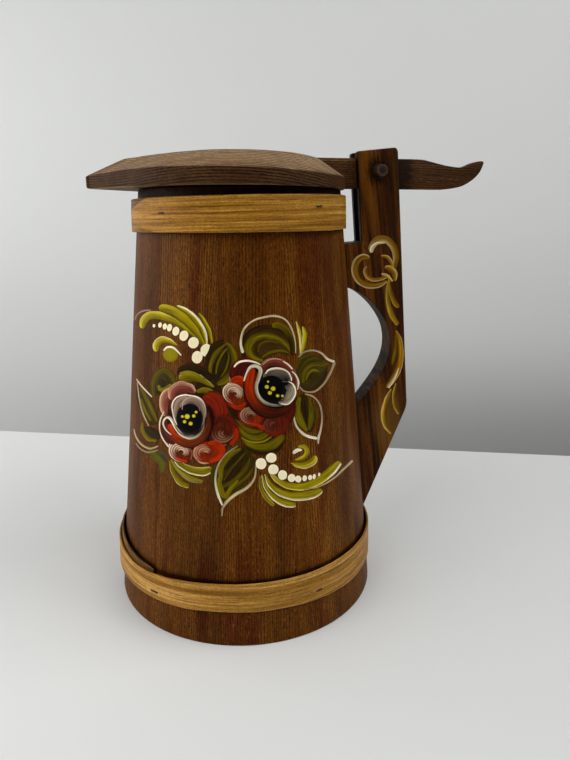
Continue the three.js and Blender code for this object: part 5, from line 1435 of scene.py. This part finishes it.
    # white edges at the left
    S([(234, 367), (238.5, 362.3), (246.5, 360.5), (254, 361.8), (260.5, 364.5)], [1.5, 2.2, 2.0, 1.8, 1.2], [(0, WHITE), (0.6, WHITE), (1, (206, 182, 152))])
    S([(229.6, 376.5), (230.6, 383)], [1.0, 1.4], [(0, (176, 140, 112)), (1, (150, 104, 80))])
    B(273, 388, 16.3, 15.2, [(0, INK), (0.8, INK), (1, (26, 22, 22))])
    S([(264.5, 379.5), (267.5, 374.5), (275, 372.3), (282, 373), (287.5, 376.5), (289, 382)], [4, 8, 9, 9, 8, 4], [(0, (112, 100, 84)), (0.35, (84, 74, 62)), (0.75, (40, 35, 32)), (1, INK)])
    S([(289.5, 382), (291, 388), (289.4, 395), (284.3, 400.2), (278, 401.5)], [4, 8, 10, 9, 4], [(0, (196, 182, 152)), (0.25, (150, 136, 112)), (0.6, (78, 70, 60)), (1, INK)])
    for i in range(7):
        dx, dy = i * 1.05, i * 1.25
        S([(267.5 + dx, 379 + dy * .5), (271 + dx * .9, 373.0 + dy), (279, 371.2 + dy), (286 - dx * .5, 375.5 + dy * .8)], [0.4, 0.7, 0.8, 0.4], [(0, (136, 124, 104)), (1, (92, 82, 68))],
          fade=[(0, INK, 0.4 + 0.08 * i), (0.5, INK, 0.05 + 0.09 * i), (1, INK, 0.4 + 0.08 * i)])
    for i in range(5):
        dx = i * 1.3
        S([(288.3 - dx, 383 + i * .8), (291.3 - dx, 389), (289 - dx, 396), (283.6 - dx * .7, 401 - i * .5)], [0.4, 0.8, 0.8, 0.4], [(0, (206, 192, 162)), (1, (150, 136, 112))],
          fade=[(0, (60, 54, 46), 0.4 + 0.1 * i), (0.5, (60, 54, 46), 0.1 + 0.15 * i), (1, INK, 0.4 + 0.12 * i)])
    B(270.6, 388.3, 14.2, 13.4, [(0, INK), (0.86, INK), (1, (16, 15, 17))], rough=0.08)
    S([(265, 373.5), (268, 369.8), (274.5, 368.1), (282, 368.8), (287.5, 372.2), (290.2, 377.5), (290.6, 380.5)], [0.8, 1.3, 1.5, 1.4, 1.4, 1.3, 0.7], [(0, WHITE), (0.6, WHITE), (1, (200, 186, 156))])
    S([(287.5, 381), (292, 384), (294.6, 391), (292.3, 398.2), (286.8, 403.4), (280.5, 402.8)], [0.7, 1.1, 1.4, 1.6, 1.6, 0.9], [(0, WHITE), (0.6, WHITE), (1, (200, 186, 156))])
    S([(244, 380.5), (246.5, 373), (250, 367), (255.5, 365.6), (260, 369.3), (258.4, 377), (255.9, 385), (257.4, 394), (262.7, 400.6), (271, 404.3), (281, 405.2)],
      [1.1, 1.6, 2.4, 3.2, 3.8, 3.4, 3.3, 3.5, 3.5, 2.9, 1.3], [(0, (206, 192, 162)), (0.35, (196, 182, 154)), (0.8, (132, 120, 100)), (1, (74, 64, 54))],
      fade=[(0, WHITE, 0.6), (0.3, WHITE, 0.35), (0.5, (176, 164, 138), 0.1), (0.75, (104, 92, 78), 0.45), (1, (40, 33, 30), 0.8)])
    S([(281, 381), (287, 381.5), (291, 384.5)], [0.6, 0.8, 0.6], [(0, (96, 86, 72)), (1, (74, 66, 56))])
    for x, y, r in ((267.5, 381, 1.2), (266.3, 386.2, 2.1), (272.4, 388, 2.4), (269.2, 392.2, 2.1), (276.8, 395, 1.7), (281.5, 395.2, 1.4)):
        B(x, y, r, r * 0.95, [(0, (214, 196, 40)), (0.7, (196, 178, 30)), (1, (150, 134, 20))], thick=1.4, cover=1.0)

    # --- the fan of strokes and the string of dots, lower right
    S([(260, 476), (261, 488), (266.5, 498), (274, 505.5)], [1.4, 3.2, 4.2, 3.2], [(0, LIME), (0.7, OLIVE), (1, over(CREAM, OLIVE, 0.5))])
    S([(262, 475), (266.5, 488.5), (275.5, 498.5), (286, 503.5), (296, 505)], [1.4, 4, 6, 7, 5], [(0, OLIVE), (0.3, LIME), (0.72, over(LIME, OLIVE, 0.4)), (0.86, CREAM), (1, WHITE)])
    S([(265, 474), (270.5, 485), (281.5, 493), (296, 496.3), (311, 494.5), (322, 490)], [1.6, 5, 7.5, 9, 9, 6], [(0, OLIVE), (0.3, LIME), (0.74, over(LIME, OLIVE, 0.4)), (0.86, CREAM), (1, WHITE)])
    S([(269, 471), (277, 480), (290, 486), (305, 486), (320, 479.5), (332, 470), (339.5, 461.5)], [1.8, 5, 7, 8, 9, 9, 5], [(0, OLIVE), (0.25, LIME), (0.72, over(LIME, OLIVE, 0.3)), (0.88, YELLOW), (1, CREAM)],
      fade=[(0, CREAM, 0.3), (0.25, LIME, 0.0), (1, LIME, 0.0)])
    S([(327, 479.5), (335, 472), (341, 463.5)], [1.2, 2.0, 1.6], [(0, WHITE), (1, WHITE)])
    S([(304, 489.5), (319, 486.5), (333, 478.5), (344, 468.5), (352.5, 460.5)], [0.8, 1.2, 1.6, 2.0, 2.4], [(0, over(PALE, (90, 60, 35), 0.3)), (1, over(PALE, CREAM, 0.3))],
      fade=[(0, (90, 60, 35), 0.4), (0.5, PALE, 0), (1, WHITE, 0.3)])
    for x, y, rx, ry, tl in ((261, 463.5, 5.3, 5.4, 0), (271.2, 457.6, 5.3, 4.8, 0), (273.2, 469.3, 5.2, 5.0, 0), (282.5, 475, 4.5, 4.9, 10), (291.6, 478, 3.8, 4.0, 0), (298.2, 479, 3.1, 3.4, 0),
                             (304.6, 478.2, 2.2, 3.0, 8), (310, 477.5, 2.0, 2.6, 10), (314, 476.6, 1.5, 2.5, 10), (319, 474.5, 1.1, 1.8, 12)):
        B(x, y, rx, ry, [(0, (244, 231, 182)), (0.7, (250, 238, 200)), (1, (254, 244, 212))], tilt=tl, thick=1.3, cover=1.0)
    S([(298, 446.3), (304.5, 446.8), (307, 452), (303, 457.5), (295, 460)], [2.6, 5, 5.5, 5, 1.6], [(0, OLIVE), (0.4, LIME), (0.8, YELLOW), (1, OLIVE)])
    S([(293, 453.6), (297, 450.3), (301.8, 450)], [2.8, 3.6, 1.8], [(0, WHITE), (1, WHITE)])
    S([(315, 455.5), (313, 461), (305.5, 465), (298, 465), (291, 463)], [4.5, 7.5, 7.5, 5, 1.4], [(0, CREAM), (0.2, YELLOW), (0.6, LIME), (1, OLIVE)])
    return p


def paint_scroll():
    p = Painting(handle_points, (345, 225, 415, 445))
    S = p.stroke
    S([(371.3, 252.5), (372, 246), (378, 240), (386, 239.5), (393, 246), (396, 256), (394, 266), (389, 272)], [3.6, 6.5, 8, 7.5, 7, 6.5, 5.5, 3], [(0, HONEY), (0.3, OCHRE), (0.6, GOLD), (0.85, STRAW), (1, (190, 166, 110))],
      fade=[(0, STRAW, 0.5), (0.2, STRAW, 0.1), (0.5, OCHRE, 0.1), (1, HONEY, 0.5)])
    S([(371.3, 252.8), (372.3, 247.3), (377.3, 243.3), (385, 243)], [3.4, 3.4, 2.6, 1.2], [(0, (232, 222, 190)), (1, STRAW)])
    S([(369.5, 258), (363, 256.8), (356.8, 261.5), (354.6, 270.5), (358, 279.5), (366, 285), (377, 285.6), (387, 281)], [3.4, 6, 7, 7, 6.5, 6, 5, 2.4], [(0, HONEY), (0.3, GOLD), (0.66, OCHRE), (0.86, STRAW), (1, (190, 166, 110))])
    S([(367, 266.5), (364.8, 271), (367.5, 276.8), (374, 279.6), (382, 278.5), (390, 275)], [2.6, 3.6, 4, 4, 3.4, 2], [(0, HONEY), (0.5, GOLD), (1, STRAW)])
    S([(381, 256), (387.5, 257.5), (391.5, 263.5), (392.5, 272)], [2.2, 3.6, 3.4, 1.4], [(0, STRAW), (0.35, GOLD), (1, HONEY)])
    S([(384.5, 267.5), (390, 268.5), (394.5, 273.5), (394.5, 281)], [3.4, 6, 6, 3], [(0, (196, 170, 90)), (0.4, GOLD), (1, HONEY)])
    S([(381.3, 274), (387, 276), (392.5, 281.5)], [2.6, 3.4, 2], [(0, STRAW), (0.5, (190, 160, 70)), (1, OCHRE)])
    S([(389.5, 279), (387.5, 290), (388, 303), (391.5, 315), (397.8, 325)], [2.4, 4.4, 4.8, 5.4, 4.6], [(0, OCHRE), (0.5, (146, 112, 20)), (0.85, (176, 146, 50)), (1, HONEY)])
    S([(389.5, 284), (391.5, 294), (394.6, 302), (398.8, 307.5)], [1.6, 4, 5.2, 3.8], [(0, HONEY), (0.5, OCHRE), (1, (160, 130, 40))])
    S([(395.9, 330.5), (399.8, 342), (400.6, 356), (398, 369), (392.8, 379), (386.5, 387.5)], [2.4, 5.2, 6.0, 6.6, 6.4, 4], [(0, (210, 184, 120)), (0.14, GOLD), (0.5, (186, 132, 10)), (0.8, OCHRE), (1, HONEY)])
    S([(398.6, 368), (394.6, 377.5), (388, 388)], [1.0, 2.4, 2.6], [(0, (230, 218, 176)), (1, STRAW)])
    S([(395.2, 335), (395.4, 345), (394.2, 355), (392.2, 364)], [1.4, 3.0, 3.4, 2.4], [(0, HONEY), (0.5, (122, 102, 14)), (1, HONEY)])
    S([(396.3, 383), (394, 394), (395, 405), (399.5, 414)], [1.6, 4, 5, 4.4], [(0, HONEY), (0.5, OCHRE), (0.85, (190, 156, 56)), (1, OCHRE)])
    S([(391.5, 389), (386.5, 400), (383.6, 412), (385, 424), (391.5, 433.5)], [2, 5, 6, 6, 3.4], [(0, HONEY), (0.3, OCHRE), (0.62, (184, 134, 14)), (0.86, (212, 184, 112)), (1, GOLD)])
    return p


def paint_material(name):
    """Oil paint: streaks left by the bristles, and thin at the ends and edges, where the wood shows through. The alpha of
    the attribute paint is how well the stroke covers."""
    m = Nodes(name)
    b = m.attr("brush")
    n1 = m.noise(m.vec("MULTIPLY", b, (2.6, 0.15, 1.0)), detail=2.0, rough=0.65)
    n2 = m.noise(m.vec("MULTIPLY", b, (1.1, 0.10, 1.0)), detail=1.0)
    streak = m.math("ADD", m.math("MULTIPLY", n1, 0.62), m.math("MULTIPLY", n2, 0.38))
    lack = m.math("SUBTRACT", 1.0, m.attr("paint", "Alpha"))
    gain = m.remap(streak, 0.34, 0.66, 0.50, 1.42, smooth=False)
    gain = m.math("ADD", 1.0, m.math("MULTIPLY", m.math("SUBTRACT", gain, 1.0), m.remap(lack, 0.0, 0.08, 0.12, 1.0, smooth=False)))
    col = m.mix(1.0, m.attr("paint", "Color"), m.comb(gain, gain, gain), "MULTIPLY")
    fine = m.noise(m.vec("MULTIPLY", b, (5.5, 1.1, 1.0)), detail=2.0, rough=0.6)
    cover = m.math("ADD", m.math("MULTIPLY", n1, 0.6), m.math("MULTIPLY", fine, 0.4))
    bare = m.remap(m.math("ADD", m.math("SUBTRACT", m.math("MULTIPLY", lack, 0.5), 0.25), m.math("SUBTRACT", 1.0, cover)), 0.50, 0.66)
    col = m.mix(m.math("MULTIPLY", bare, 0.85), col, srgb(58, 31, 6))
    m.set("Base Color", col)
    m.set("Roughness", m.remap(streak, 0.3, 0.7, 0.40, 0.56, smooth=False))
    m.set("Specular IOR Level", 0.03)
    m.set("Normal", m.bump(streak, 0.8, 0.06 * MM))
    return m.mat


# ------------------------------------------------------------------ the object
HANDLE_AT = handle_grain(PEG[0], PEG[1])
BARREL = wood("barrel_stained", srgb(99, 58, 10), srgb(87, 39, 4), srgb(31, 15, 3), specular=0.045, line=0.66, pores=0.72, fibre=0.24, bump=0.10, jag=0.18,
              fibre_sheen=0.42, turn_red=(0.36, 0.55))
HANDLE = wood("handle_stained", srgb(104, 58, 9), srgb(66, 32, 5), srgb(26, 13, 4), ring_mm=3.1, rings="RINGS", line=0.5, zone_scale=(0.16, 0.007), zone=1.0,
              warp=4.5, specular=0.06, fibre=0.2,
              spots=[((15.0,) + tuple(handle_grain(82.0, 88.0)), (60, 10.0, 26), srgb(118, 84, 34), 0.5),
                     ((15.0,) + tuple(handle_grain(64.5, 224.0)), (60, 5.0, 24), srgb(122, 72, 12), 0.5),
                     ((15.0,) + tuple(handle_grain(68.5, 203.0)), (60, 3.4, 22), srgb(112, 66, 10), 0.45),
                     ((15.0,) + tuple(handle_grain(79.5, 204.0)), (60, 3.4, 34), srgb(30, 16, 5), 0.55),
                     # painted shade: the dark halo round the peg, first on the next line
                     ((15.0, HANDLE_AT[0], HANDLE_AT[1]), (60, 7.5, 9.5), srgb(16, 9, 4), 0.9), ((15.0, HANDLE_AT[0] + 9, HANDLE_AT[1] - 6), (60, 3.5, 30), srgb(30, 15, 5), 0.55)])
# painted shade: the lid's first spot darkens the lever beside the post; the other four are dark streaks in the grain
LID = wood("lid_stained", srgb(92, 64, 36), srgb(84, 54, 27), srgb(26, 15, 8), ring_mm=1.15, rings="RINGS", line=1.0, specular=0.07, rough=(0.46, 0.6),
           bump=0.14, warp=1.3, jag=0.24, fibre=0.26, zone=0.35, fibre_sheen=0.3, spots=[((0.0, -268.0, 984.0), (60, 60, 9), srgb(14, 9, 5), 0.8), ((0.0, -262.9, 1003.0), (60, 0.5, 12), srgb(14, 9, 5), 0.5),
                                                                                        ((0.0, -265.9, 1006.0), (60, 0.55, 14), srgb(14, 9, 5), 0.55),
                                                                                        ((0.0, -268.8, 1001.0), (60, 0.5, 11), srgb(14, 9, 5), 0.5),
                                                                                        ((0.0, -271.4, 1008.0), (60, 0.6, 13), srgb(14, 9, 5), 0.5)])
PEG_WOOD = wood("peg_whittled", srgb(84, 60, 40), srgb(70, 46, 28), srgb(30, 20, 13), ring_mm=0.9, rings="RINGS", rough=(0.4, 0.6), specular=0.2)
WILLOW = willow("willow_strip")
WIRE = wire("staple_wire")
BOARD = plain_board("bottom_board_wood")


def finish_piece(ob, material, slot, body, *nodes):
    ob.data.materials.clear()
    ob.data.materials.append(material)
    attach(ob, body)
    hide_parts(*nodes)
    return ob


for k in range(11):
    node = "wall_stave_%02d" % (k + 1)
    finish_piece(stave(k, "stave_wood_%02d" % (k + 1)), BARREL, "barrel_wood", "vessel", node)
finish_piece(handle(), HANDLE, "handle_wood", "vessel", "handle_stave")
finish_piece(hoop("upper_hoop_strip", UPPER, 1.0), WILLOW, "willow", "vessel", "upper_hoop")
finish_piece(hoop("lower_hoop_strip", LOWER, 2.0), WILLOW, "willow", "vessel", "lower_hoop")
for nm, h, ang, zz, ln in STAPLES:
    finish_piece(staple(nm, h, ang, zz, ln), WIRE, "staple_wire", "vessel", nm)
finish_piece(lid(), LID, "lid_wood", "lid", "lid")
finish_piece(peg(), PEG_WOOD, "peg_wood", "vessel", "hinge_peg")
PAINT = paint_material("oil_paint")
for piece in (paint_flowers().build("painted_flowers"), paint_scroll().build("painted_scroll")):
    piece.data.materials.append(PAINT)
    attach(piece, "vessel")
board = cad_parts["bottom_board"]
board.data.materials.clear()
board.data.materials.append(BOARD)


# ------------------------------------------------------------------ floor, backdrop, light and camera
def to_row(x, y, z):
    """A point given along the picture's axes, mm, into the row frame, metres."""
    return Vector(((x * math.cos(TURN) + y * math.sin(TURN) + AXIS_X) * MM, (-x * math.sin(TURN) + y * math.cos(TURN)) * MM, z * MM))


def plain(name, color, rough=0.7, falls=()):
    """Painted board. falls, painted shade that darkens it along a direction: the direction in the object's own metres,
    where the change begins and ends, and the factor at its end.
    """
    m = Nodes(name)
    n = m.t.nodes.new("ShaderNodeTexCoord")
    g = m.noise(n.outputs["Object"], scale=14.0, detail=3.0)
    col = m.mix(m.remap(g, 0.3, 0.7, 0.0, 0.04), color, [c * 0.93 for c in color[:3]] + [1.0])
    for direction, begin, end, factor, other in falls:
        v = m.remap(m.vec("DOT_PRODUCT", n.outputs["Object"], direction), begin, end, 0.0, 1.0)
        if other:
            v = m.math("MULTIPLY", v, m.remap(m.vec("DOT_PRODUCT", n.outputs["Object"], other[0]), other[1], other[2], other[3], 1.0))
        k = m.math("SUBTRACT", 1.0, m.math("MULTIPLY", v, 1.0 - factor))
        col = m.mix(1.0, col, m.comb(k, k, k), "MULTIPLY")
    m.set("Base Color", col)
    m.set("Roughness", rough)
    return m.mat


def quad_object(name, corners, material, parts=1):
    me = bpy.data.meshes.new(name)
    me.from_pydata([tuple(c) for c in corners], [], [(0, 1, 2, 3)])
    me.update()
    ob = bpy.data.objects.new(name, me)
    bpy.context.scene.collection.objects.link(ob)
    me.materials.append(material)
    return ob


# painted shade: the floor darker to the right and to the back, the backdrop darker below the table's edge, most to the
# right, and a little darker high up
FLOOR = plain("floor_paint", srgb(227, 228, 226), falls=[((1, 0, 0), -0.25, 0.35, 0.86, None), ((0, 1, 0), -0.12, 0.2, 0.93, None)])
BACK = plain("back_paint", srgb(238, 239, 237), falls=[((0, 0, 1), 0.02, -0.31, 0.52, ((1, 0, 0), -0.55, 0.45, 0.22)), ((0, 0, 1), 0.15, 0.7, 0.86, None)])
quad_object("floor", [to_row(-2500, -1500, 0), to_row(2500, -1500, 0), to_row(2500, 201.4 - 302.5, 0), to_row(-2500, 201.4 + 302.5, 0)], FLOOR)
quad_object("backdrop", [to_row(-4000, 900, -700), to_row(4000, 900, -700), to_row(4000, 900, 3000), to_row(-4000, 900, 3000)], BACK)
quad_object("ground", [to_row(-4000, -3000, -700), to_row(4000, -3000, -700), to_row(4000, 900, -700), to_row(-4000, 900, -700)], BACK)

# a pale room all round, darker behind the camera, so that the front of the object carries no haze
world = bpy.data.worlds.new("studio")
world.use_nodes = True
wt = world.node_tree
where = wt.nodes.new("ShaderNodeTexCoord")
front = wt.nodes.new("ShaderNodeVectorMath")
front.operation = "DOT_PRODUCT"
front.inputs[1].default_value = (-math.sin(TURN), -math.cos(TURN), 0.0)
wt.links.new(where.outputs["Generated"], front.inputs[0])
fade = wt.nodes.new("ShaderNodeMapRange")
fade.interpolation_type = "SMOOTHSTEP"
for key, v in (("From Min", 0.45), ("From Max", 0.95), ("To Min", ROOM), ("To Max", ROOM * 0.08)):
    fade.inputs[key].default_value = v
wt.links.new(front.outputs["Value"], fade.inputs["Value"])
wt.links.new(fade.outputs["Result"], wt.nodes["Background"].inputs["Strength"])
wt.nodes["Background"].inputs["Color"].default_value = (0.97, 0.985, 1.0, 1.0)
bpy.context.scene.world = world


def area(name, at, look, size, power, color=(1, 1, 1)):
    data = bpy.data.lights.new(name, "AREA")
    data.shape = "RECTANGLE"
    data.size, data.size_y = size[0] * MM, size[1] * MM
    data.energy = power
    data.color = color
    ob = bpy.data.objects.new(name, data)
    bpy.context.scene.collection.objects.link(ob)
    a, b = to_row(*at), to_row(*look)
    ob.location = a
    ob.rotation_euler = (b - a).to_track_quat("-Z", "Y").to_euler()
    return ob


AIM = (0, 0, 100)
area("ceiling_left", (-1200, -1200, 1700), AIM, (1500, 1500), 18.4)
area("ceiling_right", (1100, -50, 1300), AIM, (900, 800), 8.5)
area("ceiling_front_right", (900, -700, 1400), AIM, (900, 800), 6.6)
area("window_left", (-1400, -150, 500), AIM, (800, 800), 4.6)
area("window_back_left", (-1200, 500, 500), AIM, (500, 800), 3.0)
area("low_left", (-900, -300, 250), AIM, (500, 400), 2.0)

cam_data = bpy.data.cameras.new("camera")
cam_data.sensor_fit = "AUTO"
cam_data.sensor_width = 36.0
cam_data.lens = 596.1 / 760 * 36.0
cam_data.clip_start, cam_data.clip_end = 0.01, 50
cam = bpy.data.objects.new("camera", cam_data)
bpy.context.scene.collection.objects.link(cam)
cam.location = to_row(22.563, -316.78, 200.27)
cam.rotation_euler = (math.radians(90 - 15.16), 0.0, -TURN)
bpy.context.scene.camera = cam
bpy.context.scene.view_settings.view_transform = "Standard"
bpy.context.scene.view_settings.look = "None"
